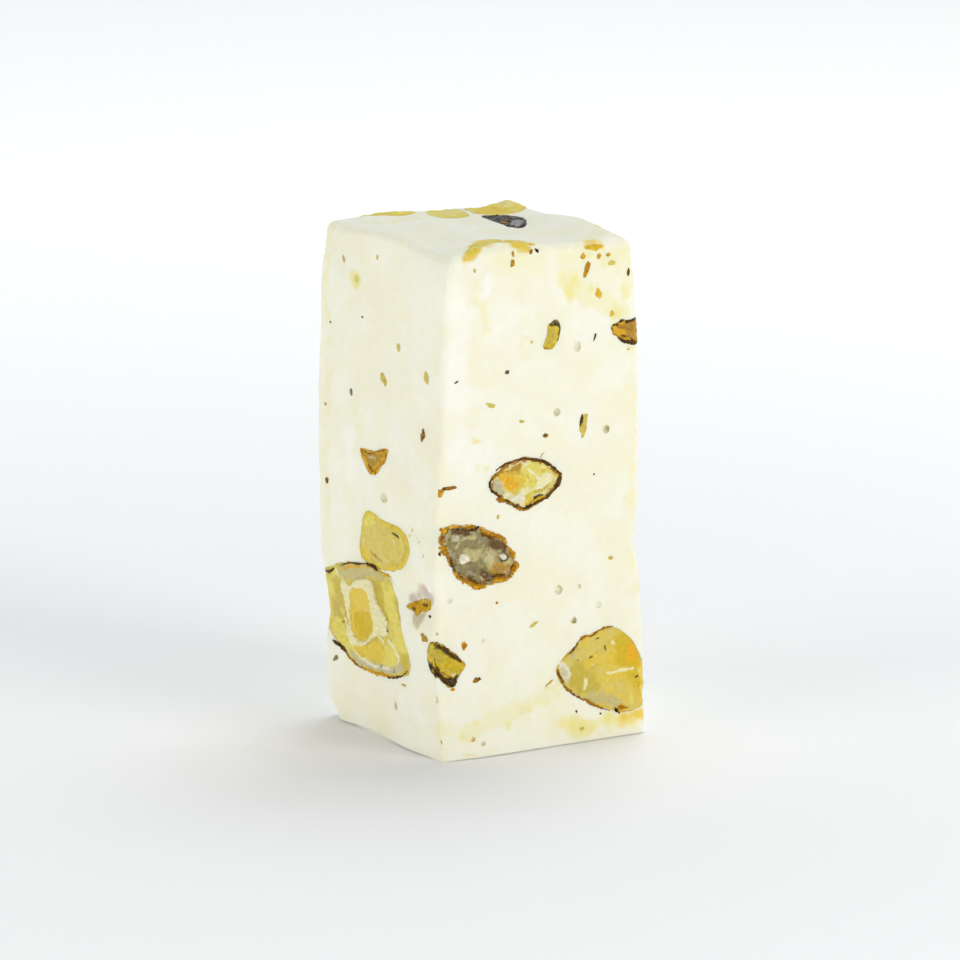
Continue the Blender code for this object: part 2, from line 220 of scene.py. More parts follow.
def roughness_at(points: np.ndarray, size: float, seed: float, octaves: int = 1) -> np.ndarray:
    """Sample smooth noise of a given grain size.

    Args:
        points: places in millimetres, one a row.
        size: how wide a grain is, in millimetres.
        seed: moves the pattern, so that two uses differ.
        octaves: how many finer layers are added.

    Returns:
        One value for each point, about -1 to 1.
    """
    scaled = (points / size + seed * SEED_WAY).tolist()
    if octaves == 1:
        return np.array([noise.noise(spot) for spot in scaled]) * NOISE_GAIN
    return np.array([noise.fractal(spot, *FINER_LAYERS, octaves) for spot in scaled])


def smooth_between(ring: Sequence[np.ndarray], share: np.ndarray | float) -> np.ndarray:
    """Go smoothly from the second of four points to the third."""
    before, start, end, after = ring
    return 0.5 * (
        2 * start
        + (end - before) * share
        + (2 * before - 5 * start + 4 * end - after) * share**2
        + (3 * start - before - 3 * end + after) * share**3
    )


def closed_curve(corners: Sequence[Spot], turns: np.ndarray) -> np.ndarray:
    """Follow a smooth closed curve through corners.

    Args:
        corners: the corners in order.
        turns: shares of the way round, 0 to 1.

    Returns:
        Two numbers for each share.
    """
    count = len(corners)
    ring = np.array(corners, float)
    place = (turns * count) % count
    step = np.floor(place).astype(int) % count
    share = (place - np.floor(place))[:, None]
    return smooth_between([ring[(step + offset) % count] for offset in (-1, 0, 1, 2)], share)


def open_curve(path: Sequence[Spot], spacing: float) -> np.ndarray:
    """Follow a smooth open curve through a path at an even spacing."""
    ring = np.array([path[0], *path, path[-1]], float)
    shares = np.linspace(0.0, 1.0, 9)[:-1]
    legs = range(len(path) - 1)
    fine = [smooth_between(ring[leg : leg + 4], share) for leg in legs for share in shares]
    fine = np.array([*fine, smooth_between(ring[-4:], 1.0)])
    run = np.concatenate(([0.0], np.cumsum(np.linalg.norm(np.diff(fine, axis=0), axis=1))))
    stops = np.linspace(0.0, run[-1], max(4, round(run[-1] / spacing)))
    return np.stack([np.interp(stops, run, fine[:, axis]) for axis in range(2)], 1)


def path_distance(spots: np.ndarray, path: np.ndarray, closed: bool) -> np.ndarray:
    """Measure how far spots lie from a path, as less than nought inside a closed one."""
    ends = np.roll(path, -1, axis=0) if closed else path[1:]
    starts = path if closed else path[:-1]
    nearest = np.full(len(spots), np.inf)
    inside = np.zeros(len(spots), bool)
    for start, end in zip(starts, ends):
        way = end - start
        away = spots - start
        share = np.clip(away @ way / max(way @ way, 1e-12), 0.0, 1.0)
        nearest = np.minimum(nearest, np.linalg.norm(away - share[:, None] * way, axis=1))
        crosses = (start[1] > spots[:, 1]) != (end[1] > spots[:, 1])
        if start[1] != end[1]:
            level = start[0] + (spots[:, 1] - start[1]) * way[0] / (end[1] - start[1])
            inside ^= crosses & (spots[:, 0] < level)
    return np.where(inside, -nearest, nearest) if closed else nearest


def pair_up(path: Row) -> list[Spot]:
    """Turn a path's tenths, across and up by turns, into spots in millimetres."""
    return [(across / TENTHS, up / TENTHS) for across, up in zip(path[::2], path[1::2])]


def mark_share(mark: Mark, flat: np.ndarray, points: np.ndarray) -> np.ndarray:
    """Work out how fully a mark covers each point.

    Args:
        mark: the mark.
        flat: the points across and up the mark's face.
        points: the same points in millimetres, for the ragged edge.

    Returns:
        0 outside the mark to 1 well inside it.
    """
    corners = pair_up(mark.path)
    path = np.array(corners * 2 if len(corners) == 1 else corners, float)
    if mark.width == 0:
        path = closed_curve(corners, np.linspace(0.0, 1.0, 6 * len(corners), endpoint=False))
    reach = path_distance(flat, path, mark.width == 0) - mark.width
    near, grain, edge = (
        first + second * mark.ragged for first, second in (MARK_REACH, MARK_GRAIN, MARK_EDGE)
    )
    close = reach < near
    reach[close] += MARK_FRAY * mark.ragged * roughness_at(points[close], grain, 3.0 + mark.width, 3)
    return soft_step(0.5 - reach / edge)


def new_object(name: str, points: np.ndarray, faces: Sequence[Sequence[int]]) -> bpy.types.Object:
    """Turn points and faces into a linked mesh object."""
    mesh = bpy.data.meshes.new(name)
    mesh.from_pydata(points.tolist(), [], [list(face) for face in faces])
    thing = bpy.data.objects.new(name, mesh)
    bpy.context.scene.collection.objects.link(thing)
    return thing


def drop(thing: bpy.types.Object) -> None:
    """Delete an object that has done its work."""
    bpy.data.objects.remove(thing, do_unlink=True)


def settle(thing: bpy.types.Object) -> None:
    """Replace an object's mesh by the one that its modifiers make."""
    view = bpy.context.evaluated_depsgraph_get()
    result = bpy.data.meshes.new_from_object(thing.evaluated_get(view))
    thing.modifiers.clear()
    old = thing.data
    thing.data = result
    bpy.data.meshes.remove(old)


def carve(target: bpy.types.Object, tool: bpy.types.Object, operation: str) -> None:
    """Cut, join or cross two closed meshes, exactly where the quick way leaves nothing."""
    kept = target.data.copy()
    for solver in ("MANIFOLD", "EXACT"):
        cut = target.modifiers.new(operation, "BOOLEAN")
        cut.operation = operation
        cut.solver = solver
        cut.object = tool
        settle(target)
        if len(target.data.polygons) > 0:
            return
        target.data = kept.copy()


def points_of(thing: bpy.types.Object) -> np.ndarray:
    """Return a mesh's points, one a row."""
    flat = np.empty(len(thing.data.vertices) * 3)
    thing.data.vertices.foreach_get("co", flat)
    return flat.reshape(-1, 3)


def normals_of(thing: bpy.types.Object) -> np.ndarray:
    """Return the way that a mesh faces at each point."""
    flat = np.empty(len(thing.data.vertices) * 3)
    thing.data.vertex_normals.foreach_get("vector", flat)
    return flat.reshape(-1, 3)


def move_points(thing: bpy.types.Object, points: np.ndarray) -> None:
    """Put a mesh's points somewhere else."""
    thing.data.vertices.foreach_set("co", points.ravel())
    thing.data.update()


def write_mask(thing: bpy.types.Object, name: str, values: np.ndarray) -> None:
    """Keep one number for each point of a mesh, for its material to read."""
    layer = thing.data.attributes.get(name) or thing.data.attributes.new(name, "FLOAT", "POINT")
    layer.data.foreach_set("value", values.astype(np.float32))


def finish_piece(
    thing: bpy.types.Object, material: bpy.types.Material, slot: Slot, node: str | None, sharp: float
) -> None:
    """Bring a piece into the part's frame, dress it and enter it.

    Args:
        thing: the piece, in millimetres.
        material: its finish.
        slot: the part's finish that it belongs to, which is only logged.
        node: the solid that it stands for, if any.
        sharp: creases over this many degrees stay crisp.
    """
    points = (points_of(thing) + np.array(ORIGIN_SHIFT)) * MM
    move_points(thing, np.clip(points, *np.array(CAD_BOX)))
    thing.data.materials.clear()
    thing.data.materials.append(material)
    thing.data.shade_smooth()
    thing.data.set_sharp_from_angle(angle=math.radians(sharp))
    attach(thing, BODY)
    if node:
        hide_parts(node)
    LOG.info("%s: %d faces, slot %s", thing.name, len(thing.data.polygons), slot.value)


class ShaderSheet:
    """A material's or a group's nodes, added and wired a line at a time."""

    def __init__(self, tree: bpy.types.NodeTree) -> None:
        """Start from an empty tree."""
        self.tree = tree
        self.tree.nodes.clear()

    def add(self, kind: str, settings: dict | None = None, **values: object) -> bpy.types.Node:
        """Add a node.

        Args:
            kind: the node's type name.
            settings: its own options.
            values: what goes into its sockets, by name with underscores for spaces. A socket is
                joined up, and anything else is set as the value.

        Returns:
            The new node.
        """
        node = self.tree.nodes.new(kind)
        for key, value in (settings or {}).items():
            setattr(node, key, value)
        for key, value in values.items():
            place = int(key[1:]) if key[0] == "n" and key[1:].isdigit() else key.replace("_", " ")
            if isinstance(value, bpy.types.NodeSocket):
                self.tree.links.new(value, node.inputs[place])
            else:
                node.inputs[place].default_value = value
        return node

    def math(self, operation: str, first: object, second: object = 0.0) -> bpy.types.NodeSocket:
        """Work out one number from two."""
        return self.add("ShaderNodeMath", {"operation": operation}, n0=first, n1=second).outputs[0]

    def blend(self, share: object, under: object, over: object) -> bpy.types.NodeSocket:
        """Mix two colours."""
        node = self.add("ShaderNodeMix", {"data_type": "RGBA"}, n0=share, n6=under, n7=over)
        return node.outputs[2]

    def stretch(self, value: object, low: object, high: object) -> bpy.types.NodeSocket:
        """Spread a value so that low becomes 0 and high becomes 1, smoothly."""
        smooth = {"interpolation_type": "SMOOTHSTEP"}
        node = self.add("ShaderNodeMapRange", smooth, Value=value, From_Min=low, From_Max=high)
        return node.outputs[0]

    def vector(self, operation: str, first: object, **values: object) -> bpy.types.Node:
        """Work out one vector, or its length."""
        return self.add("ShaderNodeVectorMath", {"operation": operation}, n0=first, **values)

    def place(self) -> bpy.types.NodeSocket:
        """Return the place on the piece."""
        return self.add("ShaderNodeTexCoord").outputs["Object"]

    def cloud(self, place: object, size: object, detail: float, **values: object) -> bpy.types.NodeSocket:
        """Return soft noise with grains of a size in millimetres."""
        scale = self.math("DIVIDE", 1.0 / MM, size)
        node = self.add("ShaderNodeTexNoise", Vector=place, Scale=scale, Detail=detail, **values)
        return node.outputs["Fac"]


def new_group(name: str, output: str, inputs: dict[str, object]) -> tuple[ShaderSheet, dict]:
    """Start a node group.

    Args:
        name: the group's name.
        output: the output's name, Colour for a colour and anything else for a number.
        inputs: each input's name and first value, a number or a colour.

    Returns:
        The sheet to add nodes to, and each input's socket.
    """
    tree = bpy.data.node_groups.new(name, "ShaderNodeTree")
    for label, value in inputs.items():
        kind = "NodeSocketFloat" if isinstance(value, float) else "NodeSocketColor"
        tree.interface.new_socket(label, in_out="INPUT", socket_type=kind).default_value = value
    kind = "NodeSocketColor" if output == "Colour" else "NodeSocketFloat"
    tree.interface.new_socket(output, in_out="OUTPUT", socket_type=kind)
    sheet = ShaderSheet(tree)
    start = sheet.add("NodeGroupInput")
    return sheet, {label: start.outputs[label] for label in inputs}


def end_group(sheet: ShaderSheet, result: bpy.types.NodeSocket) -> bpy.types.NodeTree:
    """Put a result out of a group and return the group."""
    sheet.add("NodeGroupOutput", n0=result)
    return sheet.tree


WHITE = (1.0, 1.0, 1.0, 1.0)


@dataclass
class Effects:
    """The shader groups that the finishes share, each built once."""

    groups: dict[str, bpy.types.NodeTree] = field(default_factory=dict)

    def build(self) -> None:
        """Make every group."""
        for make in (self.mottle, self.paint, self.specks, self.grain, self.shade):
            self.groups[make.__name__] = make()

    def use(self, sheet: ShaderSheet, name: str, **values: object) -> bpy.types.NodeSocket:
        """Place a group in a material and return what it puts out."""
        node = sheet.add("ShaderNodeGroup", {"node_tree": self.groups[name]}, **values)
        return node.outputs[0]

    def mottle(self) -> bpy.types.NodeTree:
        """Two colours drifting into each other in soft clouds of a given size."""
        inputs = {"First": WHITE, "Second": WHITE, "Size": 1.0, "Low": 0.4, "High": 0.6}
        sheet, given = new_group("mottle", "Colour", inputs)
        cloud = sheet.cloud(sheet.place(), given["Size"], 5.0)
        share = sheet.stretch(cloud, given["Low"], given["High"])
        return end_group(sheet, sheet.blend(share, given["First"], given["Second"]))

    def paint(self) -> bpy.types.NodeTree:
        """A tint laid over a colour where a mask says, with a broken edge."""
        inputs = {"Under": WHITE, "Tint": WHITE, "Mask": 0.0, "Broken": 0.4, "Size": 0.3}
        sheet, given = new_group("paint", "Colour", inputs)
        fray = sheet.cloud(sheet.place(), given["Size"], 4.0)
        offset = sheet.math("MULTIPLY", sheet.math("SUBTRACT", fray, 0.5), given["Broken"])
        share = sheet.stretch(sheet.math("ADD", given["Mask"], offset), 0.08, 0.92)
        thin = sheet.math("MULTIPLY", sheet.stretch(fray, 0.45, 0.75), 0.35)
        tinted = sheet.blend(thin, given["Tint"], given["Under"])
        return end_group(sheet, sheet.blend(share, given["Under"], tinted))

    def shade(self) -> bpy.types.NodeTree:
        """A colour darkened in fine uneven patches, down to a given share of itself."""
        sheet, given = new_group("shade", "Colour", {"Colour": WHITE, "Size": 0.4, "Floor": 0.8})
        patch = sheet.cloud(sheet.place(), given["Size"], 6.0, Roughness=0.65)
        dark = sheet.vector("SCALE", given["Colour"], Scale=given["Floor"])
        share = sheet.stretch(patch, 0.36, 0.62)
        return end_group(sheet, sheet.blend(share, dark.outputs[0], given["Colour"]))

    def specks(self) -> bpy.types.NodeTree:
        """Scattered specks: one in some of the cells of a given spacing."""
        sheet, given = new_group("specks", "Mask", {"Spacing": 1.5, "Share": 0.3, "Size": 0.1})
        place = sheet.place()
        bend = sheet.add("ShaderNodeTexNoise", Vector=place, Scale=2.5 / MM, Detail=2.0)
        shift = sheet.vector("SCALE", bend.outputs["Color"], Scale=0.35 * MM)
        bent = sheet.vector("ADD", place, n1=shift.outputs[0]).outputs[0]
        scale = sheet.math("DIVIDE", 1.0 / MM, given["Spacing"])
        cells = sheet.add("ShaderNodeTexVoronoi", Vector=bent, Scale=scale)
        chance = sheet.add("ShaderNodeSeparateColor", n0=cells.outputs["Color"])
        reach = sheet.math("MULTIPLY", given["Size"], chance.outputs[1])
        inside = sheet.math("SUBTRACT", reach, cells.outputs["Distance"])
        inside = sheet.math("DIVIDE", inside, sheet.math("MULTIPLY", reach, 0.6))
        chosen = sheet.math("LESS_THAN", chance.outputs[0], given["Share"])
        return end_group(sheet, sheet.math("MULTIPLY", sheet.stretch(inside, 0.0, 1.0), chosen))

    def grain(self) -> bpy.types.NodeTree:
        """The height of fine grain, drawn out by the knife up the block."""
        sheet, given = new_group("grain", "Height", {"Size": 0.2, "Drawn": 1.0})
        upward = sheet.math("DIVIDE", 1.0, given["Drawn"])
        squeeze = sheet.add("ShaderNodeCombineXYZ", X=1.0, Y=1.0, Z=upward).outputs[0]
        place = sheet.vector("MULTIPLY", sheet.place(), n1=squeeze).outputs[0]
        return end_group(sheet, sheet.cloud(place, given["Size"], 6.0, Roughness=0.62))


EFFECTS = Effects()


def new_material(name: str) -> ShaderSheet:
    """Start a material and return its sheet."""
    material = bpy.data.materials.new(name)
    material.use_nodes = True
    sheet = ShaderSheet(material.node_tree)
    sheet.material = material
    return sheet


@dataclass(frozen=True)
class Finish:
    """A food surface: two drifting colours, painted marks, gloss, glow and grain."""

    name: str
    first: Tint
    second: Tint
    cloud: float
    roughness: tuple[float, float]
    glow: float
    glow_reach: float
    grain: float
    grain_depth: float
    drawn: float = 1.0
    broken: float = 0.5
    fray: float = 0.35
    floor: float = 0.80
    coat: float = 0.06
    shine: float = 0.25
    speck: tuple[float, float, float] = (2.0, 0.0, 0.1)
    speck_tint: Tint = Tint.BARK_DARK
    drift: Spot = (0.35, 0.65)
    grain_span: Spot = (0.3, 0.7)
    coat_roughness: float = 0.15
    glow_tint: Place = (1.0, 0.75, 0.45)

    def material(self, tints: Sequence[Tint] = ()) -> bpy.types.Material:
        """Build the material.

        Args:
            tints: the marks' tints in the order in which they cover each other. Each has its mask
                in a mesh attribute of the tint's own name.

        Returns:
            The material.
        """
        sheet = new_material("_".join([self.name, *(tint.name.lower()[:6] for tint in tints)])[:60])
        first, second = self.first.linear(), self.second.linear()
        low, high = self.drift
        colour = EFFECTS.use(
            sheet, "mottle", First=first, Second=second, Size=self.cloud, Low=low, High=high
        )
        for tint in tints:
            mask = sheet.add("ShaderNodeAttribute", {"attribute_name": tint.name}).outputs["Fac"]
            values = {"Under": colour, "Tint": tint.linear(), "Mask": mask}
            colour = EFFECTS.use(sheet, "paint", Broken=self.broken, Size=self.fray, **values)
        if self.speck[1] > 0:
            spacing, share, size = self.speck
            mask = EFFECTS.use(sheet, "specks", Spacing=spacing, Share=share, Size=size)
            colour = sheet.blend(mask, colour, self.speck_tint.linear())
        colour = EFFECTS.use(sheet, "shade", Colour=colour, Size=self.grain, Floor=self.floor)
        height = EFFECTS.use(sheet, "grain", Size=self.grain, Drawn=self.drawn)
        dull, bright = self.roughness
        low, high = self.grain_span
        gloss = sheet.add(
            "ShaderNodeMapRange", Value=height, From_Min=low, From_Max=high, To_Min=dull, To_Max=bright
        )
        bump = sheet.add("ShaderNodeBump", Height=height, Distance=self.grain_depth * MM, Strength=1.0)
        shader = sheet.add(
            "ShaderNodeBsdfPrincipled",
            Base_Color=colour,
            Roughness=gloss.outputs[0],
            Normal=bump.outputs[0],
            Subsurface_Weight=self.glow,
            Subsurface_Scale=self.glow_reach * MM,
            Coat_Weight=self.coat,
            Coat_Roughness=self.coat_roughness,
            Specular_IOR_Level=self.shine,
            Subsurface_Radius=self.glow_tint,
        )
        sheet.add("ShaderNodeOutputMaterial", Surface=shader.outputs[0])
        return sheet.material


NOUGAT_FINISH = Finish(
    "nougat", Tint.NOUGAT, Tint.NOUGAT_WARM, 4.5, (0.46, 0.64), 0.25, 1.2, 1.0, 0.11, 2.2, 0.45,
    1.3, 0.985, 0.0, 0.3, (1.6, 0.20, 0.055),
)
OLIVE_FINISH = Finish(
    "olive_kernel", Tint.KERNEL_OLIVE, Tint.LEAF_YELLOW, 2.6, (0.26, 0.44), 0.35, 1.5, 0.5, 0.09,
    floor=0.95,
)
TEARDROP_FINISH = Finish(
    "tan_kernel", Tint.KERNEL_OLIVE, Tint.KERNEL_TAN, 2.2, (0.24, 0.40), 0.40, 1.6, 0.7, 0.06, floor=0.97
)
CREAM_FINISH = Finish(
    "cream_kernel", Tint.CHIP_WHITE, Tint.LEAF_YELLOW, 0.9, (0.24, 0.42), 0.30, 1.2, 0.35, 0.10,
    floor=0.86,
)
GREY_FINISH = Finish(
    "grey_kernel", Tint.KERNEL_GREY, Tint.KERNEL_PALE, 1.2, (0.16, 0.32), 0.35, 1.2, 0.45, 0.08, floor=0.80,
    coat=0.10, shine=0.35,
)
GOLD_FINISH = Finish(
    "gold_kernel", Tint.CORE_GOLD, Tint.KERNEL_TAN, 1.8, (0.24, 0.42), 0.35, 1.4, 0.45, 0.08, floor=0.92
)
YOLK_FINISH = Finish(
    "yolk_kernel", Tint.YOLK, Tint.CORE_GOLD, 0.8, (0.26, 0.46), 0.25, 1.0, 0.35, 0.12
)
CRUMB_FINISH = Finish(
    "crumbly_bit", Tint.AMBER, Tint.YOLK, 0.5, (0.34, 0.54), 0.20, 1.0, 0.25, 0.16, floor=0.60
)
BROWN_FINISH = Finish(
    "brown_kernel", Tint.KERNEL_BROWN, Tint.AMBER, 0.9, (0.28, 0.46), 0.20, 1.0, 0.35, 0.10
)
SLAB_FINISH = Finish(
    "slab_kernel", Tint.SLAB_CREAM, Tint.LEAF_YELLOW, 1.8, (0.34, 0.52), 0.30, 1.2, 0.5, 0.08, floor=0.90,
    coat=0.0, shine=0.1,
)
RIDGE_FINISH = Finish(
    "ridge_kernel", Tint.LEAF_YELLOW, Tint.CORE_GOLD, 1.6, (0.30, 0.48), 0.30, 1.2, 0.5, 0.08, floor=0.92,
    coat=0.0, shine=0.1,
)
SKIN_FINISH = Finish(
    "skin", Tint.BARK, Tint.RUST, 0.4, (0.30, 0.52), 0.0, 1.0, 0.16, 0.06, coat=0.0, shine=0.15
)
HUSK_FINISH = Finish(
    "husk", Tint.HUSK_BLACK, Tint.BARK_DARK, 0.8, (0.12, 0.30), 0.0, 1.0, 0.4, 0.10, coat=0.0, shine=0.08
)


@dataclass
class BlockForm:
    """The cut block's sizes, in millimetres, and the map from a unit cube to its surface."""

    height: float = 53.3
    half: Place = (12.0, 12.0, 26.65)
    edge_round: float = 0.9
    arc_steps: int = 4
    stations: tuple[float, ...] = (0.0, 12.0, 24.0, 36.0, 47.0, 53.3)
    edge_x: dict[str, tuple[float, ...]] = field(default_factory=lambda: {
        "front_left": (-11.50, -12.30, -12.05, -11.25, -10.85, -10.75),
        "front_right": (13.48, 13.05, 12.40, 12.45, 11.95, 11.25),
        "back_left": (-12.50, -12.95, -13.20, -13.00, -12.50, -11.60),
        "back_right": (12.30, 12.20, 12.00, 11.80, 11.50, 11.15),
    })
    edge_y: dict[str, Spot] = field(default_factory=lambda: {
        "front_left": (-12.05, -12.10),
        "front_right": (-12.20, -12.10),
        "back_left": (11.10, 12.25),
        "back_right": (11.50, 12.35),
    })
    # Soft bumps and hollows: middle, reach on each axis, direction, height.
    swells: tuple[tuple[Place, Place, Place, float], ...] = (
        ((-4.9, -11.6, 53.3), (5.2, 4.2, 3.0), (0, 0, 1), 0.70),
        ((-11.6, 0.0, 53.3), (3.6, 6.5, 3.0), (0, 0, 1), 0.65),
        ((11.0, -2.5, 53.3), (4.5, 6.5, 3.0), (0, 0, 1), 0.65),
        ((-4.6, 12.2, 53.3), (4.2, 3.0, 3.0), (0, 0, 1), 0.50),
        ((10.9, 11.6, 53.3), (2.4, 3.2, 3.0), (0, 0, 1), 0.40),
        ((-10.8, -10.8, 53.3), (3.2, 4.6, 2.0), (0.6, 0.3, -0.7), 0.75),
        ((10.9, -12.1, 53.3), (2.2, 2.2, 2.2), (-0.7, 0.2, -0.5), 0.20),
        ((12.5, -12.0, 21.2), (4.0, 4.0, 2.4), (-1, 0, 0), 0.75),
        ((-13.1, 11.4, 12.0), (3.0, 4.5, 3.4), (1, 0, 0), 0.80),
        ((-12.3, -8.6, 16.6), (3.0, 2.9, 2.0), (1, 0, 0), 0.90),
        ((2.0, -12.0, 9.0), (7.0, 5.0, 8.0), (0, 1, 0), 0.25),
        ((-1.0, -12.0, 38.0), (7.0, 5.0, 9.0), (0, -1, 0), 0.22),
        ((-12.8, 1.0, 34.0), (5.0, 7.0, 12.0), (-1, 0, 0), 0.25),
        ((1.0, 11.8, 25.0), (8.0, 5.0, 12.0), (0, 1, 0), 0.35),
        ((12.0, 1.0, 38.0), (5.0, 7.0, 9.0), (-1, 0, 0), 0.35),
        ((-11.4, -11.7, 1.5), (3.4, 3.4, 5.5), (0.7, 0.7, 0), 0.70),
        ((-12.6, 2.2, 0.0), (2.2, 4.5, 1.6), (1, 0, 0.5), 0.55),
    )
    breaks: tuple[tuple[Place, Place], ...] = (
        ((-12.4, 8.9, 0.9), (-0.55, 0.60, -0.58)),
        ((-11.5, 11.9, 52.9), (-0.60, 0.50, 0.62)),
    )
    break_share: float = 0.85
    foot_flat: dict[str, Spot] = field(default_factory=lambda: {
        "front_left": (-11.05, -11.35),
        "front_right": (13.05, -11.80),
        "back_left": (-11.50, 10.30),
        "back_right": (11.90, 11.10),
    })
    foot_break: tuple[Spot, float] = ((-0.676, 0.737), 13.75)
    foot_edge: float = 0.15
    foot_fall: float = 0.6

    def lines(self, half: float, cell: float) -> np.ndarray:
        """Return where the mesh crosses one axis of the unit cube."""
        turns = np.linspace(0.0, math.pi / 4, self.arc_steps + 1)
        arcs = 1.0 - (1.0 - np.tan(turns)) * self.edge_round / half
        rim = arcs[0]
        flat = np.linspace(-rim, rim, round(2 * rim * half / cell) + 1)[1:-1]
        return np.concatenate((-arcs[::-1], flat, arcs))

    def lattice(self, cell: float) -> tuple[np.ndarray, np.ndarray]:
        """Lay an even mesh of squares over the unit cube.

        Args:
            cell: the squares' size on the block, in millimetres.

        Returns:
            The points of the cube's surface and the squares' corners.
        """
        lines = [self.lines(half, cell) for half in self.half]
        counts = np.array([len(line) for line in lines])
        grid = np.indices(counts).reshape(3, -1).T
        spots = grid[((grid == 0) | (grid == counts - 1)).any(1)]
        index = np.full(counts, -1)
        index[tuple(spots.T)] = np.arange(len(spots))
        share = np.stack([lines[axis][spots[:, axis]] for axis in range(3)], 1)
        squares = []
        for axis in range(3):
            for end in (0, -1):
                sheet = np.moveaxis(index, axis, 0)[end]
                ring = [sheet[:-1, :-1], sheet[1:, :-1], sheet[1:, 1:], sheet[:-1, 1:]]
                faces = np.stack(ring, -1).reshape(-1, 4)
                squares.append(faces[:, ::-1] if (end == 0) != (axis == 1) else faces)
        return share, np.concatenate(squares)

    def edge_plan(self, edge: str, height: np.ndarray) -> np.ndarray:
        """Return the plan position of an upright edge at each height."""
        marks = np.array(self.stations)
        values = np.array(self.edge_x[edge])
        after = np.minimum(np.arange(len(marks)) + 1, len(marks) - 1)
        before = np.maximum(np.arange(len(marks)) - 1, 0)
        slopes = (values[after] - values[before]) / (marks[after] - marks[before])
        height = np.clip(height, marks[0], marks[-1])
        step = np.clip(np.searchsorted(marks, height) - 1, 0, len(marks) - 2)
        span = marks[step + 1] - marks[step]
        share = (height - marks[step]) / span
        square, cube = share**2, share**3
        across = (
            (2 * cube - 3 * square + 1) * values[step]
            + (cube - 2 * square + share) * span * slopes[step]
            + (3 * square - 2 * cube) * values[step + 1]
            + (cube - square) * span * slopes[step + 1]
        )
        foot, top = self.edge_y[edge]
        return np.stack([across, foot + (top - foot) * height / self.height], 1)

    @staticmethod
    def between(corners: dict[str, np.ndarray], across: np.ndarray, back: np.ndarray) -> np.ndarray:
        """Return plan positions at shares of the way across and back between four corners."""
        across, back = across[:, None], back[:, None]
        front = corners["front_left"] * (1 - across) + corners["front_right"] * across
        rear = corners["back_left"] * (1 - across) + corners["back_right"] * across
        return front * (1 - back) + rear * back

    def skin(self, share: np.ndarray) -> np.ndarray:
        """Map points of the unit cube's sides and top to the block's surface."""
        half = np.array(self.half)
        nominal = share * half
        core = np.clip(nominal, self.edge_round - half, half - self.edge_round)
        core[:, 2] = np.minimum(nominal[:, 2], half[2] - self.edge_round)
        outward = nominal - core
        length = np.linalg.norm(outward, axis=1, keepdims=True)
        curved = length[:, 0] > 0
        nominal[curved] = core[curved] + outward[curved] / length[curved] * self.edge_round
        height = np.maximum(nominal[:, 2] + half[2], self.foot_edge)
        edges = {edge: self.edge_plan(edge, height) for edge in self.edge_x}
        plan = self.between(edges, 0.5 + 0.5 * nominal[:, 0] / half[0], 0.5 + 0.5 * nominal[:, 1] / half[1])
        points = np.column_stack((plan, height))
        moved = points.copy()
        for middle, reach, direction, lift in self.swells:
            away = (((points - np.array(middle)) / np.array(reach)) ** 2).sum(1)
            way = np.array(direction, float) / np.linalg.norm(direction)
            moved += way * (lift * np.exp(-away))[:, None]
        for middle, facing in self.breaks:
            way = np.array(facing) / np.linalg.norm(facing)
            past = np.maximum((moved - np.array(middle)) @ way, 0.0)
            moved -= way * (past * self.break_share)[:, None]
        return moved

    def surface(self, share: np.ndarray) -> np.ndarray:
        """Map points of the unit cube's surface to the block's surface, in millimetres."""
        points = self.skin(share)
        low = share[:, 2] <= -1.0
        foot = share[low]
        rim = 1.0 - self.edge_round / self.half[0]
        core = np.clip(foot[:, :2], -rim, rim)
        corners = {edge: np.array(spot) for edge, spot in self.foot_flat.items()}
        flat = self.between(corners, 0.5 + 0.5 * core[:, 0] / rim, 0.5 + 0.5 * core[:, 1] / rim)
        facing, reach = np.array(self.foot_break[0]), self.foot_break[1]
        flat -= facing * np.maximum(flat @ facing - reach, 0.0)[:, None]
        outward = foot[:, :2] - core
        out = np.abs(outward).max(1, keepdims=True) / (1.0 - rim)
        ends = np.where(out > 0, core + outward / np.maximum(out, 1e-9), core)
        edge = self.skin(np.column_stack((ends, np.full(len(ends), -1.0))))
        plan = flat + (edge[:, :2] - flat) * out
        height = edge[:, 2] * out[:, 0] ** self.foot_fall
        points[low] = np.column_stack((plan, np.where(out[:, 0] > 0, height, 0.0)))
        return points

    def edge_distance(self, share: np.ndarray) -> np.ndarray:
        """Return how far each point lies from the block's nearest edge, in millimetres."""
        away = np.sort((1.0 - np.abs(share)) * np.array(self.half), axis=1)
        return away[:, 1]


# A level that lies near the cut faces, from which the way to the surface is looked for.
OUTSIDE = 12.0


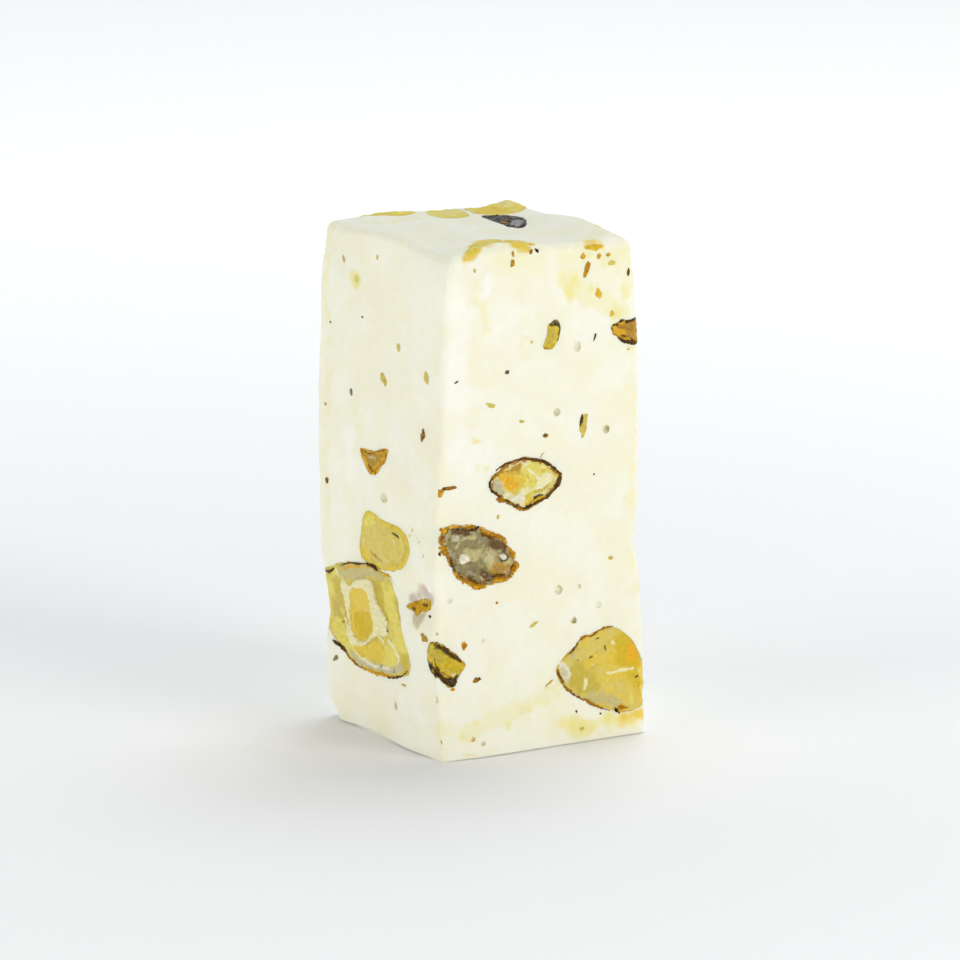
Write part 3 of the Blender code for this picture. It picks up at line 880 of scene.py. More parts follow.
@dataclass
class NougatBlock:
    """The white nougat: a knife-cut block with bubbles, worn rims and pockets for its nuts."""

    form: BlockForm = field(default_factory=BlockForm)
    cell: float = 0.325
    # Relief of the faces: height, grain, seed, layers, and how far the knife draws it out.
    waves: tuple[tuple[float, float, float, int, float], ...] = (
        (0.080, 5.5, 11.0, 1, 1.0),
        (0.045, 1.5, 12.0, 3, 0.4),
        (0.018, 0.7, 15.0, 1, 1.0),
    )
    rim_reach: float = 0.75
    rim_wear: float = 0.16
    rim_wave: float = 0.10
    foot_wear: float = 1.2
    foot_reach: float = 3.0
    foot_fade: Spot = (0.1, 0.6)
    # Open bubbles: face, place, half sizes and how strong the painted shade inside each is.
    bubble_faces: tuple[tuple[Side, Spot, Place, float], ...] = (
        (Side.FRONT, (4.58, 42.53), (0.42, 0.62, 0.30), 0.35),
        (Side.FRONT, (2.07, 35.85), (0.45, 0.42, 0.40), 0.70),
        (Side.FRONT, (8.13, 33.40), (0.36, 0.46, 0.45), 0.90),
        (Side.FRONT, (2.50, 16.89), (0.50, 0.52, 0.50), 1.00),
        (Side.FRONT, (5.05, 16.90), (0.27, 0.25, 0.25), 0.70),
        (Side.FRONT, (4.45, 13.32), (0.36, 0.26, 0.35), 1.00),
        (Side.FRONT, (7.37, 14.67), (0.42, 0.34, 0.16), 0.30),
        (Side.FRONT, (-6.63, 12.60), (0.24, 0.24, 0.16), 0.30),
        (Side.FRONT, (-7.70, 2.15), (0.26, 0.28, 0.24), 0.60),
        (Side.FRONT, (-6.50, 1.55), (0.30, 0.24, 0.20), 0.50),
        (Side.FRONT, (-10.55, 17.35), (0.40, 0.26, 0.14), 0.30),
        (Side.LEFT, (1.87, 26.40), (0.70, 0.40, 0.20), 0.45),
        (Side.LEFT, (-4.93, 48.45), (0.50, 0.40, 0.14), 0.40),
    )
    bubbles_behind: int = 26
    marks: dict[Side, Marks] = field(default_factory=dict)

    def build_whole(self) -> bpy.types.Object:
        """Build the block with its relief, before anything is cut into it."""
        share, squares = self.form.lattice(self.cell)
        points = self.form.surface(share)
        whole = new_object("nougat_body", points, squares)
        rise = points[:, 2]
        relief = np.zeros(len(points))
        for height, grain, seed, layers, drawn in self.waves:
            relief += height * roughness_at(points * np.array((1.0, 1.0, drawn)), grain, seed, layers)
        edge = np.exp(-((self.form.edge_distance(share) / self.rim_reach) ** 2))
        low = 1.0 + self.foot_wear * np.clip((self.foot_reach - rise) / self.foot_reach, 0.0, 1.0)
        relief -= self.rim_wear * low * edge * np.abs(roughness_at(points, 1.1, 13.0, 3))
        relief += self.rim_wave * edge * roughness_at(points, 3.2, 14.0)
        relief[share[:, 2] <= -1.0] = 0.0
        relief *= np.clip((rise - self.foot_fade[0]) / self.foot_fade[1], 0.0, 1.0)
        move_points(whole, points + normals_of(whole) * relief[:, None])
        return whole

    def bubble_list(self) -> list[tuple[Side, Spot, Place, float]]:
        """Return every bubble, with seeded ones on the faces behind."""
        draw = random.Random(21)
        bubbles = list(self.bubble_faces)
        for _ in range(self.bubbles_behind):
            side = draw.choice((Side.BACK, Side.RIGHT))
            size = draw.uniform(0.16, 0.5)
            spot = (draw.uniform(-9.5, 9.5), draw.uniform(3.0, 50.0))
            half = (size, size * draw.uniform(0.7, 1.2), size * draw.uniform(0.5, 1.0))
            # The last number is how strong the painted shade inside the bubble is.
            bubbles.append((side, spot, half, draw.uniform(0.4, 0.9)))
        return bubbles

    def cut_bubbles(
        self, block: bpy.types.Object, skin: BVHTree
    ) -> list[tuple[Vector, float, float]]:
        """Cut the open bubbles into the block.

        Args:
            block: the whole block.
            skin: its surface, to set the bubbles in.

        Returns:
            Each bubble's middle, radius and how strong the painted shade inside it is.
        """
        turns = np.linspace(0.0, 2 * math.pi, 20, endpoint=False)
        rises = np.linspace(-math.pi / 2, math.pi / 2, 11)[1:-1]
        unit = [(0.0, 0.0, -1.0)]
        unit += [
            (math.cos(rise) * math.cos(turn), math.cos(rise) * math.sin(turn), math.sin(rise))
            for rise in rises
            for turn in turns
        ]
        unit = np.array([*unit, (0.0, 0.0, 1.0)])
        faces = sphere_faces(len(turns), len(rises))
        places = []
        for side, spot, half, dark in self.bubble_list():
            across, up, outward = side.axes()
            far = side.place(np.array([spot]), OUTSIDE)[0]
            middle, _normal, _face, _away = skin.find_nearest(far)
            ball = unit * np.array(half)
            points = np.array(middle) + ball[:, :1] * across + ball[:, 1:2] * up
            points += ball[:, 2:] * outward
            points += 0.05 * np.stack([roughness_at(points, 0.5, 5.0 + axis) for axis in range(3)], 1)
            tool = new_object("bubble", points, faces)
            carve(block, tool, "DIFFERENCE")
            drop(tool)
            places.append((middle, max(half[:2]), dark))
        return places

    def dress(self, block: bpy.types.Object, bubbles: list[tuple[Vector, float, float]]) -> None:
        """Paint the block's stains, chalky patches, painted shade in the bubbles and round the crumb and
        painted highlight along the near edge, and give it its finish.
        """
        points = points_of(block)
        normals = normals_of(block)
        first = (Tint.STAIN, Tint.STAIN_DEEP, Tint.BRUISE, Tint.DIMPLE)
        masks = {tint: np.zeros(len(points)) for tint in first}
        for side, table in self.marks.items():
            flat = side.flatten(points)
            faces_it = soft_step((normals @ side.axes()[2] + 0.1) / 0.5)
            for mark in marks_of(table):
                mask = mark_share(mark, flat, points) * faces_it
                masks[mark.tint] = np.maximum(masks.get(mark.tint, 0.0), mask)
        # Painted shade inside each open bubble, as strong as the bubble says.
        for middle, radius, dark in bubbles:
            away = np.linalg.norm(points - np.array(middle), axis=1)
            inside = soft_step((1.15 * radius - away) / (0.5 * radius))
            masks[Tint.DIMPLE] = np.maximum(masks[Tint.DIMPLE], dark * inside)
        for tint, values in masks.items():
            write_mask(block, tint.name, values)
        finish_piece(block, NOUGAT_FINISH.material(tuple(masks)), Slot.NOUGAT, "nougat_block", 38.0)


def sphere_faces(turns: int, rises: int) -> list[tuple[int, ...]]:
    """Return the faces of a ball of points: a lower pole, rings from low to high, an upper pole."""
    faces = []
    for turn in range(turns):
        beside = (turn + 1) % turns
        faces.append((0, 1 + beside, 1 + turn))
        for rise in range(rises - 1):
            low, high = 1 + rise * turns, 1 + (rise + 1) * turns
            faces.append((low + turn, low + beside, high + beside, high + turn))
        last = 1 + (rises - 1) * turns
        faces.append((last + turn, last + beside, last + turns))
    return faces


@dataclass
class Nut:
    """A nut that a cut face shows: its outline, depth, finish, marks and strips of skin."""

    node: str
    side: Side
    middle: Place
    depth: float
    finish: Finish
    slot: Slot
    corners: Row
    marks: Marks = field(default_factory=dict)
    lips: tuple[tuple[Tint | float, ...], ...] = ()
    ragged: float = 0.10
    bumps: tuple[float, float] = (0.9, 0.07)
    rims: tuple[tuple[Tint, float, float], ...] = ()
    after: tuple[str, ...] = ()
    stand_out: float = 2.4
    fullness: float = 0.62
    voxel: float = 0.115

    def whole(self, margin: float) -> bpy.types.Object:
        """Build the whole nut, standing out of its face, grown by a margin."""
        across, up, outward = self.side.axes()
        turns = np.linspace(0.0, 1.0, 140, endpoint=False)
        outline = closed_curve(pair_up(self.corners), turns)
        lift = self.side.place(outline, 0.0) + np.array(self.middle)
        fray = self.ragged * (roughness_at(lift, 0.9, 4.0) + 0.5 * roughness_at(lift, 0.35, 6.0))
        length = np.linalg.norm(outline, axis=1, keepdims=True)
        outline = outline * (1.0 + (fray[:, None] + margin) / length)
        rises = np.linspace(-math.pi / 2, math.pi / 2, 31)[1:-1]
        rings = [np.zeros((1, 2))]
        levels = [np.array([-self.depth - margin])]
        for rise in rises:
            rings.append(outline * math.cos(rise) ** self.fullness)
            reach = self.stand_out if rise > 0 else self.depth
            levels.append(np.full(len(turns), math.sin(rise) * (reach + margin)))
        rings.append(np.zeros((1, 2)))
        levels.append(np.array([self.stand_out + margin]))
        flat, level = np.concatenate(rings), np.concatenate(levels)
        points = np.array(self.middle) + flat[:, :1] * across + flat[:, 1:] * up
        points += level[:, None] * outward
        return new_object(self.node + "_whole", points, sphere_faces(len(turns), len(rises)))

    def build(
        self, block: bpy.types.Object, skin: BVHTree, others: dict[str, "Nut"]
    ) -> bpy.types.Object:
        """Build the nut as its cut face shows it.

        Args:
            block: the whole block, which gives the cut face.
            skin: the block's surface.
            others: the nuts built before, by node.

        Returns:
            The nut, finished.
        """
        nut = self.whole(0.0)
        carve(nut, block, "INTERSECT")
        for name in self.after:
            tool = others[name].whole(NEXT_MARGIN)
            carve(nut, tool, "DIFFERENCE")
            drop(tool)
        remesh = nut.modifiers.new("even", "REMESH")
        remesh.mode = "VOXEL"
        remesh.voxel_size = self.voxel
        smooth = nut.modifiers.new("soft", "SMOOTH")
        smooth.factor = 0.5
        smooth.iterations = 5
        settle(nut)
        points = points_of(nut)
        flat = self.side.flatten(points - np.array(self.middle))
        nearest = [skin.find_nearest(spot)[1:4:2] for spot in points.tolist()]
        ways = np.array([normal for normal, _away in nearest])
        shown = soft_step(1.4 - np.array([away for _normal, away in nearest]) / 0.16)
        size, height = self.bumps
        lift = height * roughness_at(points, size, 8.0)
        lift += 0.5 * height * roughness_at(points, 0.4 * size, 9.0, 3)
        masks = {}
        crumbly = 1.0 + 0.9 * roughness_at(points, 0.32, 16.0, 2)
        for mark in marks_of(self.marks):
            mask = mark_share(mark, flat, points)
            lift += mark.lift * mask * crumbly
            masks[mark.tint] = np.maximum(masks.get(mark.tint, 0.0), mask)
        outline = closed_curve(pair_up(self.corners), np.linspace(0.0, 1.0, 90, endpoint=False))
        inward = -path_distance(flat, outline, True)
        for tint, width, ragged in self.rims:
            edge = width + ragged * roughness_at(points, 0.5, 17.0 + width, 3)
            mask = soft_step(0.5 + (edge - inward) / (0.14 + 0.5 * ragged))
            masks[tint] = np.maximum(masks.get(tint, 0.0), mask)
        move_points(nut, points + ways * (lift * shown)[:, None])
        for tint, values in masks.items():
            write_mask(nut, tint.name, values)
        nut.name = self.node + "_nut"
        finish_piece(nut, self.finish.material(tuple(masks)), self.slot, self.node, 60.0)
        return nut

    def build_lips(self, skin: BVHTree) -> bpy.types.Object | None:
        """Build the strips of skin round the nut as one piece."""
        if not self.lips:
            return None
        lips = [Lip(*row[:4], row[4:]) for row in self.lips]
        middle = np.array(self.middle)
        strips = [
            strip(lip, self.side, middle, skin, STRIP_SEED + index) for index, lip in enumerate(lips)
        ]
        return joined(self.node + "_skin", strips, [lip.tint for lip in lips], Slot.SKIN)


def snapped(skin: BVHTree, points: np.ndarray, heights: np.ndarray) -> np.ndarray:
    """Bring points onto the block's surface and lift them off it by their heights."""
    placed = []
    for spot, height in zip(points.tolist(), heights):
        near, normal, _face, _away = skin.find_nearest(spot)
        placed.append(near + normal * float(height))
    return np.array(placed)


# How far a strip of skin reaches into the surface, and the first strip's seed.
STRIP_ROOT = 0.22
STRIP_SEED = 20.0


def strip(lip: Lip, side: Side, middle: np.ndarray, skin: BVHTree, seed: float) -> Mesh:
    """Build one strip of skin along its path.

    Args:
        lip: the strip.
        side: the face on which it runs.
        middle: the nut's middle, from which its path is measured.
        skin: the block's surface.
        seed: makes its frayed edge its own.

    Returns:
        Its points and faces.
    """
    across, up, _outward = side.axes()
    line = open_curve(pair_up(lip.path), 0.13)
    way = np.gradient(line, axis=0)
    way /= np.maximum(np.linalg.norm(way, axis=1, keepdims=True), 1e-6)
    beside = np.stack((-way[:, 1], way[:, 0]), 1)
    count = len(line)
    run = np.linspace(0.0, 1.0, count)
    body = np.sin(math.pi * (0.06 + 0.88 * run)) ** 0.55
    place = np.column_stack((line, np.full(count, seed)))
    swell = 1.0 + 0.45 * roughness_at(place, 0.7, seed)
    section = np.linspace(0.0, 2 * math.pi, 10, endpoint=False)
    rings = []
    heights = []
    for turn in section:
        moved = place + np.array((0.0, 0.0, 0.8 * math.cos(turn)))
        fray = lip.ragged * roughness_at(moved, 0.28, seed + 1.0, 2)
        out = math.cos(turn) * lip.width * body * swell + fray * abs(math.cos(turn))
        spots = line + beside * out[:, None]
        rings.append(middle + spots[:, :1] * across + spots[:, 1:] * up)
        bumpy = 1.0 + 0.6 * roughness_at(place, 0.35, seed + 2.0 + math.sin(turn))
        rise = math.sin(turn)
        heights.append(rise * (lip.proud * bumpy if rise > 0 else STRIP_ROOT) * body)
    points = np.stack(rings, 1).reshape(-1, 3)
    points = snapped(skin, points, np.stack(heights, 1).reshape(-1))
    wide = len(section)
    faces = []
    for step in range(count - 1):
        for turn in range(wide):
            beside_turn = (turn + 1) % wide
            low, high = step * wide, (step + 1) * wide
            faces.append((low + turn, low + beside_turn, high + beside_turn, high + turn))
    faces.append(tuple(reversed(range(wide))))
    faces.append(tuple(range((count - 1) * wide, count * wide)))
    return points, faces


def joined(name: str, parts: list[Mesh], tints: Sequence[Tint], slot: Slot) -> bpy.types.Object:
    """Join small closed meshes into one piece and finish it.

    Args:
        name: the piece's name.
        parts: each mesh's points and faces.
        tints: each mesh's tint.
        slot: the part's finish that the piece belongs to, which is only logged.

    Returns:
        The piece.
    """
    points = np.concatenate([part[0] for part in parts])
    faces = []
    start = 0
    owner = []
    for index, (spots, rings) in enumerate(parts):
        faces += [tuple(corner + start for corner in ring) for ring in rings]
        owner += [index] * len(spots)
        start += len(spots)
    piece = new_object(name, points, faces)
    owner = np.array(owner)
    shown = tuple(dict.fromkeys(tints))
    for tint in shown[1:]:
        chosen = np.array([own is tint for own in tints])
        write_mask(piece, tint.name, chosen[owner].astype(float))
    finish = replace(SKIN_FINISH, first=shown[0], second=SHADES.get(shown[0], shown[0]))
    finish_piece(piece, finish.material(shown[1:]), slot, None, 50.0)
    return piece


# What each skin tint drifts into.
SHADES = {
    Tint.BARK_DARK: Tint.BARK,
    Tint.BARK: Tint.RUST,
    Tint.RUST: Tint.AMBER,
    Tint.AMBER: Tint.RUST,
    Tint.CORE_GOLD: Tint.AMBER,
    Tint.KERNEL_OLIVE: Tint.KERNEL_TAN,
    Tint.HUSK_GREY: Tint.BARK_DARK,
}


@dataclass
class Crumbs:
    """The small bits of nut and skin scattered in the cut faces."""

    crumbs: tuple[tuple[Side, tuple[tuple[float | Tint, ...], ...]], ...] = ()
    behind: int = 46
    tints_behind: tuple[Tint, ...] = (
        Tint.RUST, Tint.BARK, Tint.BARK_DARK, Tint.KERNEL_OLIVE, Tint.AMBER, Tint.CORE_GOLD
    )
    turns: int = 22
    proud: float = 0.05
    sunk: float = 0.22

    def everything(self) -> list[Crumb]:
        """Return the crumbs, with seeded ones on the faces behind."""
        draw = random.Random(5)
        crumbs = [
            Crumb(side, row[:2], row[2:4], *row[4:]) for side, rows in self.crumbs for row in rows
        ]
        for _ in range(self.behind):
            side = draw.choice((Side.BACK, Side.RIGHT))
            spot = (draw.uniform(-10.5, 10.5), draw.uniform(1.5, 51.5))
            long = draw.uniform(0.10, 0.30) * draw.choice((1.0, 1.0, 2.6))
            half = (long, long * draw.uniform(0.35, 0.8))
            turn = draw.uniform(-90.0, 90.0)
            crumbs.append(Crumb(side, spot, half, turn, draw.choice(self.tints_behind)))
        return crumbs

    def crumb_mesh(self, crumb: Crumb, skin: BVHTree, seed: float) -> Mesh:
        """Build one crumb, ragged and a little proud of its face."""
        turn = math.radians(crumb.turn)
        turns = np.linspace(0.0, 2 * math.pi, self.turns, endpoint=False)
        ring = np.stack((np.cos(turns), np.sin(turns)), 1)
        round_it = np.column_stack((ring, np.full(self.turns, seed)))
        rough = 1.0 + 0.5 * roughness_at(round_it, 1.1, seed, 3)
        ring = ring * rough[:, None] * np.array(crumb.half)
        ring = ring @ np.array(((math.cos(turn), math.sin(turn)), (-math.sin(turn), math.cos(turn))))
        rises = np.linspace(-math.pi / 2, math.pi / 2, 8)[1:-1]
        pole = np.zeros((1, 2))
        spots = [pole, *(ring * math.cos(rise) ** 0.5 for rise in rises), pole]
        flat = np.concatenate(spots) + np.array(crumb.middle)
        levels = [np.full(self.turns, math.sin(rise)) for rise in rises]
        level = np.concatenate([[-1.0], *levels, [1.0]])
        bumpy = 1.0 + 0.5 * roughness_at(np.column_stack((flat, level)), 0.3, seed)
        heights = np.where(level > 0, level * self.proud * bumpy, level * self.sunk)
        points = snapped(skin, crumb.side.place(flat, OUTSIDE), heights)
        return points, sphere_faces(self.turns, len(rises))

    def build(self, skin: BVHTree) -> None:
        """Build the crumbs, one piece for each tint."""
        kinds = {}
        for index, crumb in enumerate(self.everything()):
            mesh = self.crumb_mesh(crumb, skin, 1.0 + 0.37 * index)
            kinds.setdefault(crumb.tint, []).append(mesh)
        for tint, meshes in kinds.items():
            joined("crumbs_" + tint.name.lower(), meshes, (tint,), Slot.SKIN)


@dataclass
class Studio:
    """A plain pale floor that sweeps up behind and glows as painted light, soft lights and the camera."""

    turn: float = -30.3
    rise: float = 12.8
    distance: float = 0.567
    target: Place = (-0.0006, -0.0009, 0.02675)
    lens: float = 202.5
    floor_half: float = 1.2
    sweep_start: float = 0.55
    sweep_radius: float = 0.35
    sweep_steps: int = 16
    wall_top: float = 1.6
    floor_tint: Place = (0.93, 0.93, 0.93)
    # The floor's painted light: how strongly it glows, and the distances in metres from the middle over which
    # its glow rises from nothing to full.
    glow: float = 0.30
    glow_reach: Spot = (-0.08, 0.40)
    # The lamps: turn from the camera's way, rise, size, power and colour.
    lamps: tuple[tuple[str, float, float, float, float, Place], ...] = (
        ("key", 52.0, 15.0, 0.26, 1.65, (1.0, 0.985, 0.975)),
        ("fill", -58.0, 6.0, 0.30, 1.72, (1.0, 0.99, 0.97)),
        ("top", 150.0, 66.0, 0.35, 1.42, (0.90, 0.955, 1.0)),
    )
    lamp_distance: float = 0.6
    room_tint: Place = (0.97, 0.985, 1.0)
    room_light: float = 0.30

    def build(self) -> None:
        """Build the floor, the lights, the world and the camera."""
        self.build_floor()
        self.build_lights()
        self.build_camera()

    def build_floor(self) -> None:
        """Sweep the floor up into a backdrop, square to the camera's way, and let it glow as painted light.
        """
        turn = math.radians(self.turn)
        away = Vector((-math.sin(turn), math.cos(turn), 0.0))
        beside = Vector((math.cos(turn), math.sin(turn), 0.0))
        profile = [(-self.floor_half, 0.0), (self.sweep_start, 0.0)]
        for step in range(1, self.sweep_steps + 1):
            angle = math.pi / 2 * step / self.sweep_steps
            out = self.sweep_start + self.sweep_radius * math.sin(angle)
            profile.append((out, self.sweep_radius * (1 - math.cos(angle))))
        profile.append((profile[-1][0], self.wall_top))
        points = []
        for out, height in profile:
            for reach in (-self.floor_half, self.floor_half):
                points.append(away * out + beside * reach + Vector((0.0, 0.0, height)))
        steps = range(0, 2 * len(profile) - 2, 2)
        faces = [(step, step + 1, step + 3, step + 2) for step in steps]
        floor = new_object("floor", np.array(points), faces)
        floor.data.shade_smooth()
        sheet = new_material("floor_paper")
        # Painted light: the floor glows little near the block, which keeps its contact shadow, and fully
        # further out, which lights the backdrop and the block's lower faces.
        reach = sheet.vector("LENGTH", sheet.place()).outputs["Value"]
        glow = sheet.blend(sheet.stretch(reach, *self.glow_reach), (0.0, 0.0, 0.0, 1.0), WHITE)
        shader = sheet.add(
            "ShaderNodeBsdfPrincipled",
            Base_Color=(*self.floor_tint, 1.0),
            Roughness=0.9,
            Emission_Color=glow,
            Emission_Strength=self.glow,
        )
        sheet.add("ShaderNodeOutputMaterial", Surface=shader.outputs[0])
        floor.data.materials.append(sheet.material)

    def hang(self, thing: bpy.types.Object, turn: float, rise: float, distance: float) -> None:
        """Put a lamp or the camera round the block, facing it."""
        angle, up = math.radians(turn), math.radians(rise)
        flat = math.cos(up)
        way = Vector((math.sin(angle) * flat, -math.cos(angle) * flat, math.sin(up)))
        bpy.context.scene.collection.objects.link(thing)
        thing.location = Vector(self.target) + way * distance
        thing.rotation_euler = way.to_track_quat("Z", "Y").to_euler()

    def lamp(
        self, name: str, turn: float, rise: float, size: float, watts: float, tint: Place
    ) -> None:
        """Hang a soft square lamp that faces the block, turned from the camera's way."""
        light = bpy.data.lights.new(name, "AREA")
        light.size = size
        light.energy = watts
        light.color = tint
        self.hang(bpy.data.objects.new(name, light), self.turn + turn, rise, self.lamp_distance)

    def build_lights(self) -> None:
        """Hang the lamps and light the room."""
        for lamp in self.lamps:
            self.lamp(*lamp)
        world = bpy.data.worlds.new("studio")
        bpy.context.scene.world = world
        world.use_nodes = True
        ground = world.node_tree.nodes["Background"]
        ground.inputs["Color"].default_value = (*self.room_tint, 1.0)
        ground.inputs["Strength"].default_value = self.room_light

    def build_camera(self) -> None:
        """Set up the camera."""
        lens = bpy.data.cameras.new("camera")
        lens.lens = self.lens
        lens.sensor_width = 36.0
        lens.clip_start = 0.01
        lens.clip_end = 20.0
        camera = bpy.data.objects.new("camera", lens)
        self.hang(camera, self.turn, self.rise, self.distance)
        bpy.context.scene.camera = camera
        bpy.context.scene.view_settings.view_transform = "Standard"


